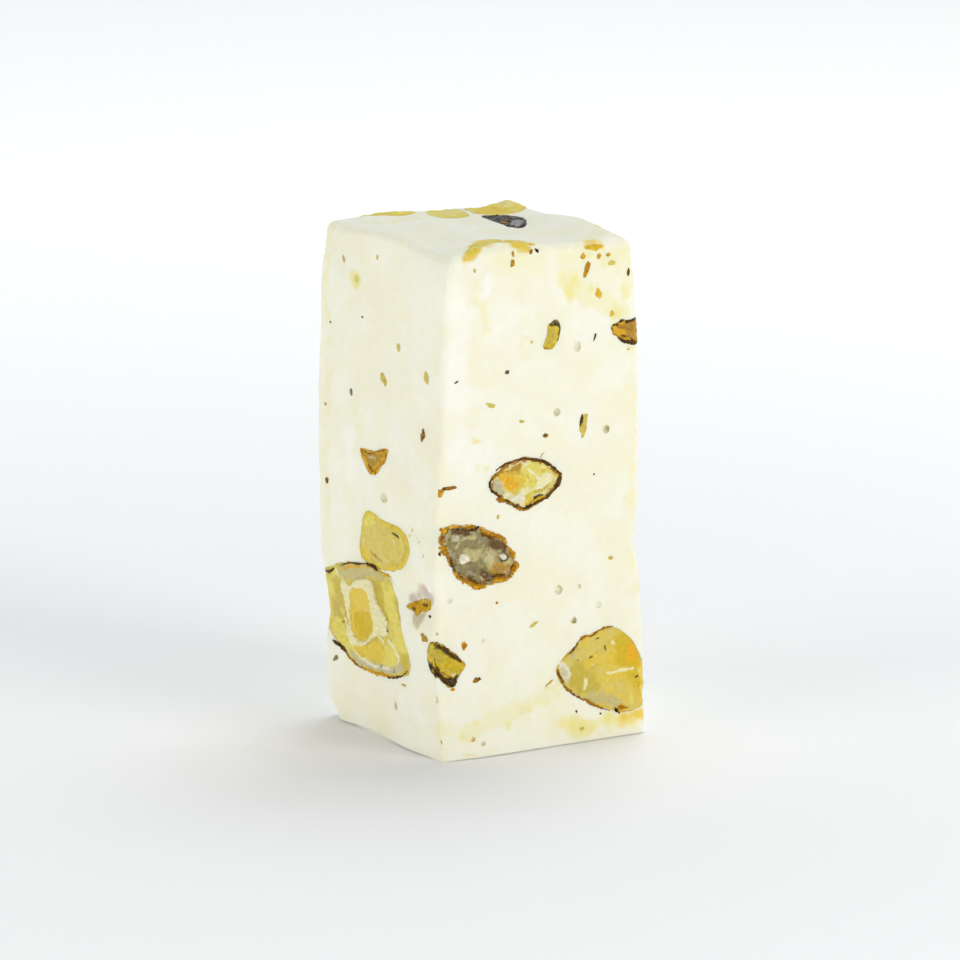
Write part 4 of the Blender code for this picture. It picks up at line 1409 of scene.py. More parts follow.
# The nuts: each with its outline round its middle, its marks and its strips of skin. Outlines and
# paths are in tenths of a millimetre. A row of marks starts with the width, raggedness and lift,
# and a row of lips with the tint, width, raggedness and height.
NUTS = (
    Nut(
        "almond_half_low", Side.LEFT, (-12.7, 2.3, 12.9), 5.2, OLIVE_FINISH, Slot.ALMOND,
        (82, -5, 56, 50, 5, 58, -48, 48, -92, 26, -94, -22, -44, -49, -9, -58, 67, -53, 93, -36),
        marks={
            Tint.KERNEL_PALE: ((0, 0.35, 0, -46, 43, -23, 51, 9, 57, 33, 54, 39, 47, 17, 45, -15, 37, -42,
            32),),
            Tint.KERNEL_OLIVE: ((0, 0.4, -0.05, -67, 29, -46, 27, -41, 11, -39, -2, -51, -2, -64, -3, -65,
            14), (0, 0.3, 0, 29, 34, 41, 24, 53, 9, 61, -2, 53, -2, 41, 11, 29, 21)),
            Tint.LEAF_YELLOW: ((0, 0.45, 0.02, 41, 43, 55, 31, 69, 17, 81, -2, 88, -20, 72, -19, 57, -1, 45,
            20),
            (0, 0.18, 0.16, -69, -17, -56, -12, -44, -16, -39, -28, -44, -38, -56, -39, -68, -34, -74, -28),
            (0, 0.18, 0.1, 44, -23, 58, -22, 67, -29, 64, -39, 50, -41, 43, -34)),
            Tint.CHIP_WHITE: ((0, 0.12, 0.26, -46, 25, -40, 32, -32, 29, -26, 27, -15, 35, -3, 39, 13, 42, 23,
            39, 27, 25, 39, 15, 51, 4, 53, -6, 45, -12, 33, -13, 18, -21, 2, -31, -16, -34, -28, -28, -31,
            -13, -35, 1, -38, 12, -44, 19), (0.19, 0.2, 0.16, -39, -11, -36, -23, -27, -35, -11, -44, 7, -48),
            (0.19, 0.16, 0.14, 53, -15, 64, -21, 71, -30, 68, -40),
            (0.13, 0.14, 0.12, 32, -16, 40, -18, 42, -24)),
            Tint.CORE_GOLD: ((0, 0.1, -0.26, -24, 23, -11, 28, 3, 30, 11, 26, 15, 16, 19, 4, 23, -8, 16, -18,
            3, -27, -10, -28, -20, -23, -27, -12, -28, 2),
            (0, 0.25, 0.05, -19, -37, 2, -33, 24, -22, 37, -26, 47, -30, 38, -41, 17, -43, -7, -44)),
            Tint.YOLK: ((0, 0.3, -0.05, -16, 1, 11, 5, 17, -10, 5, -23, -11, -24, -21, -13),),
            Tint.BLOOM_GREY: ((0.34, 0.3, 0.08, -28, -47, -12, -51, 9, -51, 29, -51, 53, -48, 74, -40),),
            Tint.BLOOM_WHITE: ((0.15, 0.18, 0.08, 5, -48, 21, -50, 50, -46),
            (0.17, 0.12, 0.1, -56.1, 39.1, -52.2, 32.3)),
            Tint.HUSK_GREY: ((0.23, 0.1, 0.1, 35.4, -46.7), (0.19, 0.1, 0.1, 61.6, -46.2)),
            Tint.BARK: ((0, 0.12, -0.04, -71, -41, -56, -42, -44, -43, -40, -48, -53, -48, -65, -46),
            (0.07, 0.08, -0.05, 51.2, 0.2, 53.3, -5.8)),
            Tint.BARK_DARK: ((0.08, 0.08, -0.05, -39, -3, -41, -10, -46, -17),),
            Tint.AMBER: ((0.13, 0.14, 0.02, -71, -18, -76, -29, -71, -38),
            (0.13, 0.16, 0, -42, 43, -23, 49, -3, 52, 17, 56)),
        },
        lips=(
            (Tint.BARK_DARK, 0.13, 0.14, 0.1, -83, 32, -73, 33, -62, 39),
            (Tint.BARK, 0.09, 0.14, 0.1, -46, 45, -27, 52, -7, 55, 9, 59),
            (Tint.BARK_DARK, 0.16, 0.2, 0.14, 7, 58, 21, 58, 31, 55),
            (Tint.AMBER, 0.13, 0.2, 0.1, 31, 55, 45, 55, 57, 54),
            (Tint.BARK_DARK, 0.19, 0.2, 0.14, -71, -42, -57, -44, -40, -48),
            (Tint.RUST, 0.12, 0.16, 0.1, -44, -48, -33, -53, -18, -57, -2, -58),
            (Tint.AMBER, 0.18, 0.24, 0.12, -4, -58, 14, -57, 28, -57, 45, -55, 61, -52),
            (Tint.BARK, 0.1, 0.2, 0.12, 16, -58, 36, -56, 53, -55, 73, -50, 86, -41),
        ),
        rims=((Tint.AMBER, 0.08, 0.12),),
    ),
    Nut(
        "almond_teardrop", Side.LEFT, (-12.6, -2.1, 21.6), 3.6, TEARDROP_FINISH, Slot.ALMOND,
        (50, 5, 33, 21, -4, 25, -35, 29, -45, 10, -50, -17, -34, -29, 6, -29, 39, -17),
        marks={
            Tint.KERNEL_TAN: ((0, 0.3, 0.05, -36, 13, -18, 19, 5, 16, 25, 9, 29, -3, 13, -17, -11, -20, -30,
            -15, -36, -3),),
            Tint.KERNEL_OLIVE: ((0.21, 0.05, 0.03, 9, 19, 29, 17, 40, 9, 42, -4, 31, -16, 7, -25),),
            Tint.LEAF_YELLOW: ((0.06, 0.04, 0.02, 27, 14, 35, 4, 33, -8),
            (0, 0.3, 0, -38, 25, -26, 27, -14, 22, -26, 14, -38, 11)),
            Tint.CORE_GOLD: ((0, 0.3, -0.05, -48, -11, -34, -12, -27, -19, -35, -27, -47, -27),),
            Tint.RUST: ((0.17, 0.2, -0.04, -26, -14, -17, -17, -5, -20),),
            Tint.BARK: ((0.13, 0.06, -0.03, 15, 14, 25, 12), (0.06, 0.04, -0.03, -18.3, 22.6, -16.3, 20.8)),
            Tint.CHIP_WHITE: ((0.09, 0.04, 0.03, 16.9, 7.2, 20.8, 4.8),
            (0.07, 0.05, 0, -38.3, -1.8, -40.4, -9.7)),
        },
        after=("almond_half_low",),
        rims=((Tint.CORE_GOLD, 0.5, 0.5), (Tint.KERNEL_OLIVE, 0.26, 0.14)),
    ),
    Nut(
        "nut_wedge_left", Side.LEFT, (-12.5, 0.2, 30.2), 2.0, BROWN_FINISH, Slot.ALMOND,
        (22, 0, 26, 15, 1, 9, -26, 6, -17, -10, 3, -17),
        marks={
            Tint.KERNEL_BROWN: ((0, 0.14, 0.03, -18, 3, -7, 3, 8, 7, 16, 6, 11, -3, 0, -8, -12, -6, -18,
            -2),),
            Tint.AMBER: ((0.19, 0.2, 0.02, -24, 5, -18, -2, -12, -8),),
            Tint.RIPE_ORANGE: ((0.21, 0.2, 0.04, 18, 2, 9, -6, 2, -13),),
            Tint.BLOOM_GREY: ((0.08, 0.1, 0, -9, 0, 5, 2),),
        },
        lips=(
            (Tint.RUST, 0.16, 0.2, 0.1, -26, 5, -20, 0, -16, -7),
            (Tint.RUST, 0.17, 0.22, 0.1, 23, 11, 20, 2, 9, -7, 2, -15),
            (Tint.BARK, 0.1, 0.14, 0.08, -12, -7, -6, -11, 0, -15),
            (Tint.BARK, 0.07, 0.12, 0.06, -22, 5, -7, 4, 8, 9, 21, 13),
        ),
        ragged=0.16,
        rims=((Tint.AMBER, 0.24, 0.25),),
    ),
    Nut(
        "nut_crumb", Side.LEFT, (-11.9, -8.4, 16.1), 1.8, CRUMB_FINISH, Slot.SKIN,
        (21.1, 6, 17.1, 10.4, 1.5, 9.3, -14.1, 2.8, -25.9, -4, -17.9, -8.7, -8, -11.9, 3.7, -5.1, 15.4, -1.6),
        marks={
            Tint.RIPE_ORANGE: ((0, 0.2, 0.06, -20, -3, -10, 1, 0, 1, 0, -5, -10, -9, -18, -8),),
            Tint.BARK: ((0.14, 0.14, -0.06, -16, -3, -12, -5.3), (0.13, 0.12, -0.06, -0.4, 2.5, 7.5, 2.1)),
            Tint.LEAF_YELLOW: ((0.09, 0.1, 0.04, -6, 4, 7, 7),),
        },
        ragged=0.26,
        bumps=(0.5, 0.14),
        rims=((Tint.AMBER, 0.2, 0.3),),
    ),
    Nut(
        "hazelnut_edge", Side.FRONT, (-10.7, -12.0, 10.7), 1.9, YOLK_FINISH, Slot.HAZELNUT,
        (20.5, -6.1, 15.7, 3.1, 3.8, 13.2, -8, 22.1, -17.5, 25.5, -22.2, 17.6, -23.4, 5, -17.5, -6.4, -9.2,
        -18.1, 1.4, -25.9, 9.7, -21.7, 15.7, -14),
        marks={
            Tint.YOLK: ((0, 0.3, 0, -9, 5, 1, 4, 11, -5, 7, -11, -2, -6, -9, 0),),
            Tint.KERNEL_OLIVE: ((0, 0.2, 0, -19, 17, -12, 17, -6, 9, -4, 0, -10, 1, -16, 8),),
            Tint.BARK_DARK: ((0, 0.22, -0.05, -16, 23, -10, 21, 0, 14, 9, 6, 16, -1, 10, 2, 0, 8, -9, 15),
            (0, 0.22, -0.05, -21, 5, -16, 1, -9, -9, 0, -16, 10, -13, 12, -17, 4, -25, -6, -19, -15, -8)),
            Tint.BLOOM_WHITE: ((0.1, 0.08, 0.05, 2.6, -12.2, 7.4, -11.8),),
            Tint.AMBER: ((0.15, 0.16, 0, -19.8, 19.4, -18.7, 10.8),),
            Tint.RUST: ((0.13, 0.16, 0, -6.9, -8.8, 1.4, -14.2),),
        },
        lips=(
            (Tint.BARK_DARK, 0.14, 0.24, 0.13, -16, 24, -10, 19, 0, 14),
            (Tint.BARK, 0.13, 0.22, 0.12, -1, 13, 9, 5, 17, -2),
            (Tint.BARK, 0.13, 0.24, 0.12, -22, 8, -16, -1, -9, -11),
            (Tint.BARK_DARK, 0.14, 0.24, 0.13, -9, -12, -2, -19, 4, -24, 10, -20),
            (Tint.RUST, 0.1, 0.2, 0.1, -21, -5.9, -17.5, -3.2, -13.9, -4.7),
        ),
        ragged=0.16,
        bumps=(0.7, 0.14),
        rims=((Tint.RUST, 0.12, 0.2),),
    ),
    Nut(
        "hazelnut_grey", Side.FRONT, (-7.2, -12.0, 21.7), 3.6, GREY_FINISH, Slot.HAZELNUT,
        (34, 12, 16, 24, -2, 33, -36, 35, -47, 21, -38, 0, -30, -15, -16, -27, 2, -34, 34, -30, 46, -16),
        marks={
            Tint.KERNEL_GREY: ((0, 0.6, 0, -31, 19, -20, 24, -9, 20, -12, 12, -22, 7, -24, -1, -30, 4),
            (0, 0.6, 0, -25, -4, -16, -9, -5, -9, 5, -14, 0, -22, -12, -22, -22, -15),
            (0, 0.6, 0, -3, 25, 9, 19, 16, 10, 9, 5, 2, 11)),
            Tint.KERNEL_PALE: ((0, 0.35, 0.05, -14, 8, -6, 8, 3, 5, 2, -2, -5, -5, -13, -3),
            (0, 0.35, 0.04, 9, 3, 19, 1, 21, -7, 21, -15, 14, -18, 8, -9),
            # A painted highlight arc along the upper left of the kernel.
            (0.13, 0.25, 0.05, -26, 12, -22, 18, -13, 22, -4, 20)),
            Tint.KERNEL_BROWN: ((0, 0.6, -0.03, 15, -10, 25, -8, 37, -12, 43, -17, 38, -24, 26, -24, 15,
            -20),),
            Tint.BARK: ((0, 0.8, -0.03, 19, -14, 28, -15, 26, -20, 19, -19),
            (0, 0.4, -0.06, 13, 14, 22, 13, 32, 7, 32, 0, 24, 4, 15, 7),
            (0, 0.4, -0.05, 2, -16, 9, -16, 19, -21, 18, -28, 8, -27, 1, -22),
            (0, 0.35, -0.05, -31, 31, -17, 31, -10, 27, -14, 23, -25, 25, -32, 24),
            (0.13, 0.5, -0.04, -25, -13, -16, -18, -7, -22)),
            Tint.BLOOM_GREY: ((0, 0.12, 0.05, -31.1, 24.9, -24, 24, -24, 18.8, -31.1, 19.6),
            (0.09, 0.1, 0.03, 3.3, -22.6, 4.5, -26)),
            # Painted highlights: the whitish spot on the left and the small outlined spot on the right.
            Tint.BLOOM_WHITE: ((0, 0.08, 0.09, -22, 2, -17, 4, -11, 1, -11, -4, -17, -6, -22, -4),
            (0.06, 0.08, 0.04, 5.7, 11), (0.05, 0.08, 0.04, 10.4, 6.2), (0.05, 0.06, 0.04, 0.9, 5.2),
            (0, 0.05, 0.1, 25.9, -2.1, 30.7, -1.6, 33.1, -4, 33.1, -7.2, 28.3, -7.7, 26, -5.2)),
            Tint.BARK_DARK: ((0.08, 0.1, -0.05, 25, 0, 30, 1, 34, -3, 34, -8, 28, -9, 25, -5),
            (0.06, 0.06, -0.05, -22.8, 0.7)),
        },
        lips=(
            (Tint.AMBER, 0.27, 0.26, 0.08, -45.2, 33.9, -40.5, 31.3, -36.9, 31.9),
            (Tint.AMBER, 0.14, 0.2, 0.07, -38, 27, -37, 21, -38, 16),
            (Tint.BARK, 0.14, 0.16, 0.08, -36, 31, -35, 24, -35, 18),
            (Tint.AMBER, 0.23, 0.26, 0.09, -46, 15, -42, 12, -36, 14),
            (Tint.RUST, 0.16, 0.2, 0.09, -45, 10, -39, 6, -33, 1),
            (Tint.BARK_DARK, 0.1, 0.14, 0.08, -46.4, 8.8, -44.1, 5.4),
            (Tint.BARK, 0.16, 0.18, 0.1, -33, 3, -31, -6, -26, -15, -18, -22),
            (Tint.AMBER, 0.16, 0.24, 0.09, -30, -12, -25, -18, -18, -24),
            (Tint.RUST, 0.16, 0.24, 0.09, -18, -24, -10, -27, 0, -31, 9, -30),
            (Tint.AMBER, 0.19, 0.26, 0.1, -19, -26, -13, -26, -6, -31, 2, -33, 9, -33),
            (Tint.AMBER, 0.15, 0.22, 0.08, -1, -35, 7, -34, 10, -29),
            (Tint.BARK, 0.15, 0.16, 0.08, -10, -23, 1, -29, 10, -28, 18, -27),
            (Tint.AMBER, 0.16, 0.26, 0.1, 15, -28, 25, -28, 34, -29, 42, -23),
            (Tint.BARK, 0.12, 0.18, 0.11, 16, -24, 26, -24, 34, -23),
            (Tint.RUST, 0.15, 0.2, 0.1, 19, -25, 28, -26, 38, -23),
            (Tint.AMBER, 0.23, 0.28, 0.1, 38, -25, 44, -20, 46, -15, 42, -11),
            (Tint.RUST, 0.14, 0.2, 0.09, 39.1, -20.7, 42.7, -15.8),
            (Tint.AMBER, 0.19, 0.24, 0.08, 37, 3, 41, -2, 43, -8),
            (Tint.RUST, 0.18, 0.26, 0.09, 1, 27, 9, 22, 19, 19, 28, 16, 34, 9),
            (Tint.AMBER, 0.1, 0.24, 0.07, 4, 27, 14, 23, 25, 19, 32, 14),
            (Tint.BARK, 0.16, 0.18, 0.1, 3, 24, 14, 18, 24, 14, 32, 6),
            (Tint.BARK_DARK, 0.16, 0.18, 0.11, -12, 28, -5, 29, 1, 31),
            (Tint.BARK_DARK, 0.13, 0.16, 0.1, -32, 31, -24, 32, -14, 28),
            (Tint.RUST, 0.12, 0.2, 0.07, -20, 34, -11, 31, -3, 33),
        ),
        ragged=0.24,
        bumps=(1.1, 0.16),
        rims=((Tint.BARK, 0.6, 0.45), (Tint.RUST, 0.44, 0.45), (Tint.AMBER, 0.22, 0.4)),
    ),
    Nut(
        "hazelnut_lens", Side.FRONT, (-1.7, -12.1, 28.7), 3.4, CREAM_FINISH, Slot.HAZELNUT,
        (43, 1, 37, 14, 20, 24, -3, 28, -23, 23, -42, 8, -35, -8, 0, -28, 33, -12),
        marks={
            Tint.KERNEL_BROWN: ((0, 0.25, -0.03, -35, 17, -24, 17, -15, 19, -6, 23, -3, 19, -8, 11, -20, 12,
            -32, 13),),
            Tint.AMBER: ((0, 0.25, 0, -36, 15, -28, 14, -20, 14, -24, 10, -33, 10),),
            Tint.LEAF_YELLOW: ((0, 0.25, 0.03, -5, 16, 7, 20, 19, 20, 27, 12, 19, 8, 9, -1, -2, -3, -6, 7),),
            Tint.CHIP_WHITE: ((0, 0.2, 0.05, 19, 7, 31, 8, 33, 2, 25, -6, 15, -8, 13, -2),
            (0.14, 0.14, 0.05, 4, 14, 11, 10, 15, 5), (0.1, 0.14, 0.05, 19.9, 16.5, 24.7, 13.8)),
            Tint.KERNEL_OLIVE: ((0.16, 0.2, -0.02, 12, -10, 20, -9, 30, -4),
            (0.09, 0.14, -0.02, 1.9, 10, 4.3, 5.5)),
            Tint.CORE_GOLD: ((0, 0.4, 0.04, -30, 11, -22, 15, -12, 15, -4, 12, 0, 3, -3, -5, -11, -9, -20, -5,
            -27, 1), (0, 0.15, 0, 1, -12, 8, -12, 8, -20, 1, -23, -2, -18),
            (0.13, 0.2, 0, -13.6, -8.3, -6.4, -7)),
            Tint.RIPE_ORANGE: ((0, 0.5, 0.05, -28, 9, -20, 11, -12, 6, -9, -1, -15, -5, -23, -1),
            (0.1, 0.16, 0.03, 20, 11, 26, 14, 34, 11, 38, 5)),
            Tint.BLOOM_GREY: ((0, 0.2, 0, -40, 6, -32, 9, -28, 1, -23, -8, -30, -7, -37, 0),),
            Tint.BLOOM_WHITE: ((0, 0.15, 0.05, -10, -10, -5, -9, 0, -16, -5, -19, -14, -17, -17, -13),
            (0.1, 0.1, 0.05, -30, 20, -22, 21, -12, 23), (0.08, 0.1, 0.05, -29.1, -11.7, -24.3, -10.2),
            (0.06, 0.08, 0.05, -11.2, 12.6)),
            Tint.BARK: ((0.08, 0.1, -0.04, -33, 20, -23, 23, -14, 26),),
            Tint.BARK_DARK: ((0, 0.16, -0.06, 10, -14, 18, -13, 22, -13, 18, -19, 12, -20),),
            Tint.KERNEL_TAN: ((0.14, 0.2, 0, 25, -12, 31, -8, 34, -2),),
        },
        lips=(
            (Tint.BARK_DARK, 0.14, 0.16, 0.12, -39, 10, -42, 6, -41, -1, -34, -7, -28, -11),
            (Tint.RUST, 0.17, 0.22, 0.09, -34, -12, -28, -15, -23, -16),
            (Tint.BARK, 0.14, 0.18, 0.1, -26, -13, -18, -17, -11, -22, -4, -24),
            (Tint.RUST, 0.14, 0.24, 0.09, -14, -21, -6, -26, 2, -27, 10, -24),
            (Tint.BARK_DARK, 0.13, 0.18, 0.1, -8, -24, 1, -26, 9, -23),
            (Tint.BARK, 0.19, 0.2, 0.12, 10, -23, 19, -19, 26, -17, 32, -12, 37, -7),
            (Tint.AMBER, 0.13, 0.2, 0.09, 6, -21, 15, -18, 24, -15),
            (Tint.BARK_DARK, 0.23, 0.2, 0.13, 34, -10, 40, -4, 42, 3, 38, 10),
            (Tint.BARK_DARK, 0.17, 0.18, 0.12, 38, 10, 31, 16, 22, 21, 14, 25),
            (Tint.BARK, 0.18, 0.2, 0.12, 19, 22, 9, 25, -1, 27, -10, 26),
            (Tint.RUST, 0.15, 0.22, 0.1, -5, 25, 3, 27, 11, 23),
            (Tint.RUST, 0.12, 0.18, 0.08, 30, 13, 37, 8, 39, 2),
            (Tint.BARK, 0.1, 0.14, 0.1, -9, 27, -18, 25, -28, 22, -35, 18),
            (Tint.RUST, 0.1, 0.16, 0.08, -33.9, 16.2, -36.3, 12.3, -38.6, 8.3),
            (Tint.KERNEL_OLIVE, 0.06, 0.06, 0.04, 17.5, 25.2, 19.9, 29.1, 23.4, 31.9),
        ),
        ragged=0.16,
        bumps=(0.8, 0.14),
        rims=((Tint.RUST, 0.36, 0.35), (Tint.BARK, 0.14, 0.2)),
    ),
    Nut(
        "almond_corner", Side.FRONT, (8.0, -12.0, 7.4), 5.6, GOLD_FINISH, Slot.ALMOND,
        (48, 9, 31, 34, 8, 48, -18, 42, -48, 21, -57, 5, -44, -13, -5, -38, 29, -48, 54, -38, 62, -14),
        marks={
            Tint.KERNEL_OLIVE: ((0, 0.9, 0, -46, 10, -32, 12, -14, 6, -5, -9, -7, -21, -22, -21, -36, -11),),
            Tint.KERNEL_PALE: ((0, 0.9, 0, -19, -24, -5, -22, 13, -29, 23, -38, 8, -39, -9, -33),
            (0, 0.8, 0, -39, 22, -33, 28, -24, 27, -24, 20, -34, 17)),
            Tint.KERNEL_TAN: ((0, 0.9, 0, -32, 25, -20, 36, -5, 37, -5, 26, -19, 19),
            (0, 0.4, 0, 2, 46, 12, 46, 12, 37, 4, 37)),
            Tint.YOLK: ((0, 1.3, 0, 15, 46, 28, 41, 38, 27, 44, 9, 47, -7, 48, -26, 40, -23, 36, -5, 20, 3,
            11, 19, 11, 33),),
            Tint.RIPE_ORANGE: ((0, 0.8, 0, 30, 36, 37, 29, 42, 17, 46, 2, 35, 4, 27, 14, 30, 24),),
            Tint.LEAF_YELLOW: ((0.17, 0.4, 0, 45, -2, 47, -15, 48, -31),
            (0.17, 0.3, 0, 33.6, -29.9, 34.9, -37.7)),
            # The patch on the left is a raised white chip; the two dots are painted glints on the highlight
            # streak.
            Tint.BLOOM_WHITE: ((0, 0.34, 0.06, -54, 14, -46, 14, -41, 7, -39, -2, -42, -7, -49, 1),
            (0.08, 0.08, 0.02, 6.4, -2.4), (0.08, 0.08, 0.02, 26, -0.7)),
            Tint.BLOOM_GREY: ((0, 0.4, -0.03, -52, 10, -47, 10, -44, 3, -41, -5, -46, -3),),
            # Painted highlights: a streak across the kernel, an upright stroke and two small glints.
            Tint.CHIP_WHITE: ((0.12, 0.24, 0.02, 5, -2, 17, -2, 27, -1, 35, -1),
            (0.13, 0.24, 0.02, -22, -5, -21, -11, -23, -17), (0.14, 0.16, 0.02, 9.9, 30.7, 12.3, 28.2),
            (0.08, 0.08, 0.03, -13.3, 8.9)),
            Tint.BARK: ((0.08, 0.08, -0.09, 1.3, 27.5, 2.6, 23),
            (0.09, 0.08, -0.09, -15.8, 16.8, -13.3, 17.5), (0.09, 0.08, -0.08, -30.4, 15.4),
            (0.09, 0.08, -0.08, -8.5, 36.3, -6.1, 37.1), (0.06, 0.08, -0.08, 40.9, -3.7)),
            Tint.KERNEL_BROWN: ((0.08, 0.08, -0.05, -8.5, 21.2),),
            Tint.BARK_DARK: ((0.12, 0.08, -0.1, 39.7, -11.2, 42.1, -10.4), (0.08, 0.08, -0.08, 43.5, -21.5)),
            Tint.AMBER: ((0, 0.3, 0, 16, -40, 23, -39, 31, -42, 31, -46, 20, -46),),
        },
        lips=(
            (Tint.BARK, 0.16, 0.14, 0.12, -56, 11, -53, 2, -47, -6),
            (Tint.RUST, 0.14, 0.14, 0.1, -52, -2, -45, -12, -38, -17),
            (Tint.BARK, 0.12, 0.14, 0.1, -45, -13, -35, -21, -25, -26),
            (Tint.RUST, 0.13, 0.16, 0.09, -31, -24, -19, -30, -9, -36, 0, -40),
            (Tint.BARK, 0.08, 0.12, 0.08, -17, -33, -4, -39, 9, -44),
            (Tint.BARK_DARK, 0.16, 0.22, 0.12, 14, -41.4, 17.7, -45.2, 20.2, -48.8),
            (Tint.RUST, 0.19, 0.26, 0.1, 19, -41, 25, -43, 31, -43),
            (Tint.AMBER, 0.1, 0.14, 0.08, -50, 18, -45, 22, -40, 24),
            (Tint.BARK, 0.1, 0.12, 0.09, -40, 24, -35, 29, -30, 34),
            (Tint.RUST, 0.12, 0.14, 0.08, -32, 33, -26, 39, -20, 41, -13, 40),
            (Tint.BARK, 0.1, 0.12, 0.08, -15, 40, -9, 43, -5, 46),
            (Tint.RUST, 0.13, 0.14, 0.08, -5, 45, 1, 47, 9, 47),
            (Tint.BARK, 0.08, 0.12, 0.08, 6.1, 47.4, 11, 47.9),
            (Tint.AMBER, 0.09, 0.16, 0.06, -70, -8, -66, -5, -60, -1),
        ),
        rims=((Tint.AMBER, 0.08, 0.12),),
    ),
    Nut(
        "nut_wedge_edge", Side.FRONT, (11.0, -12.1, 43.3), 2.2, BROWN_FINISH, Slot.SKIN,
        (28, 0, 24, 14, -11, 14, -25, 7, -16, -3, 2, -11, 24, -14),
        marks={
            Tint.AMBER: ((0, 0.4, 0, -23, 8, -15, 9, -5, 5, -4, -3, -16, -3),),
            Tint.KERNEL_BROWN: ((0, 0.3, 0, -7, 12, 12, 12, 12, -9, -2, -8),),
            Tint.RUST: ((0.17, 0.2, 0, -15, 8, -7, 6, 0, 3),),
            Tint.BARK_DARK: ((0.08, 0.16, -0.05, -10, -2, -2, -4, 2, -7),),
        },
        lips=(
            (Tint.BARK_DARK, 0.14, 0.16, 0.1, -21, 10, -12, 10, -3, 12, 12, 14),
            (Tint.BARK_DARK, 0.18, 0.18, 0.12, -15, -4, -5, -9, 12, -12),
            (Tint.RUST, 0.14, 0.18, 0.08, -22, 8, -20, 2, -13, -4),
        ),
        ragged=0.16,
        bumps=(0.7, 0.12),
        rims=((Tint.AMBER, 0.36, 0.3), (Tint.BARK_DARK, 0.12, 0.2)),
    ),
    Nut(
        "nut_slanted", Side.FRONT, (1.5, -12.1, 44.0), 1.5, YOLK_FINISH, Slot.HAZELNUT,
        (11, 6, 7, 16, -4, 12, -7, -1, -11, -12, -3, -16, 8, -8),
        marks={
            Tint.BARK_DARK: ((0, 0.12, 0.03, -3, 14, 5, 16, 11, 14, 11, 6, 5, 9, -1, 9),),
            Tint.BARK: ((0.13, 0.12, 0, 10, 6, 9, -3, 6, -9),),
            Tint.KERNEL_OLIVE: ((0, 0.14, 0, -7, 6, 1, 7, 5, 4, 2, -6, -5, -11, -9, -10),),
            Tint.AMBER: ((0.12, 0.12, 0, -4.1, 9.8, -6.5, 2.7),),
            Tint.RUST: ((0.08, 0.12, 0, -10.1, -12.6, -4.1, -14.3),),
        },
    ),
    Nut(
        "nut_slab_top", Side.TOP, (-4.4, 12.0, 53.6), 1.5, SLAB_FINISH, Slot.ALMOND,
        (-36, -1, -12, -13, 9, -22, 30, -12, 36, 6, 26, 20, -26, 20),
        marks={
            Tint.LEAF_YELLOW: ((0, 0.5, 0.05, -34, -14, 6, -21, 32, -10, 36, 8, 24, 18, -14, 9, -32, 2),),
            Tint.CORE_GOLD: ((0.16, 0.2, 0.03, -34, -2, -12, -12, 9, -20, 28, -13),),
        },
    ),
    Nut(
        "nut_pale_top", Side.TOP, (2.0, 9.9, 53.4), 1.8, SLAB_FINISH, Slot.ALMOND,
        (-25, -22, -12, -31, 10, -27, 20, 1, 18, 30, -2, 34, -22, 12),
        marks={
            Tint.CORE_GOLD: ((0.22, 0.2, 0.03, -18, -19, -4, -26, 9, -22),),
        },
        after=("nut_slab_top",),
    ),
    Nut(
        "nut_ridge_top", Side.TOP, (8.0, 10.0, 53.7), 2.4, RIDGE_FINISH, Slot.ALMOND,
        (-36, -26, -18, -38, 7, -36, 30, -12, 36, 24, 16, 34, -16, 32, -37, 6),
        marks={
            Tint.CORE_GOLD: ((0, 0.5, 0.05, -28, -26, -6, -32, 6, -12, -10, 6, -30, -2),),
            Tint.SLAB_CREAM: ((0, 0.3, 0.08, 6, -6, 22, 0, 26, 18, 9, 16),),
        },
        after=("nut_pale_top",),
        rims=((Tint.AMBER, 0.2, 0.3),),
    ),
    Nut(
        "hazelnut_dark_top", Side.TOP, (5.2, 2.3, 53.4), 1.6, HUSK_FINISH, Slot.SKIN,
        (-14, 27, -18, -7, -20, -36, -9, -42, 12, -12, 22, 20, 10, 39, -9, 47),
        marks={
            # Painted highlights: the grey sheen on the dark glossy husk.
            Tint.HUSK_GREY: ((0, 0.22, 0.05, -8, -13, 1, -2, 8, -1, 8, -9, 1, -23, -9, -32, -13, -27),
            (0.06, 0.16, 0.04, -14, 35, -10, 23, -6, 13)),
            Tint.RUST: ((0.17, 0.2, 0.03, -10.1, 1.7, -8.6, -6.1),),
            Tint.BARK: ((0.1, 0.2, 0.03, -4.2, -29.4, 0.7, -25.3),),
            Tint.HUSK_BLACK: ((0.08, 0.16, -0.04, -6.5, -17, -1.7, -17.1),),
        },
        bumps=(0.7, 0.1),
        after=("nut_pale_top", "nut_ridge_top"),
    ),
    Nut(
        "nut_flake_top", Side.TOP, (-4.2, -10.7, 54.0), 0.9, RIDGE_FINISH, Slot.ALMOND,
        (-46, -9, -24, -8, 4, -2, 44, -11, 47, -6, 24, 7, -6, 12, -34, 4),
        marks={
            Tint.CORE_GOLD: ((0.13, 0.25, 0, -11, 6, 6, 9),),
            Tint.KERNEL_BROWN: ((0.07, 0.12, -0.03, 18.4, 28.7), (0.06, 0.12, -0.03, 28.1, 23)),
        },
        rims=((Tint.AMBER, 0.12, 0.2),),
    ),
    Nut(
        "almond_half_back", Side.BACK, (2.8, 12.1, 33.5), 4.4, OLIVE_FINISH, Slot.ALMOND,
        (54.7, 36.9, 18, 56.7, -22.2, 32.8, -52.5, -5.7, -56.3, -34.6, -23.5, -48.6, 24, -35.6, 56.3, 0.1),
        marks={
            Tint.KERNEL_TAN: ((0, 0.4, 0.05, -42, -24, -20, -26, 22, 2, 38, 26, 22, 28, -12, 10),),
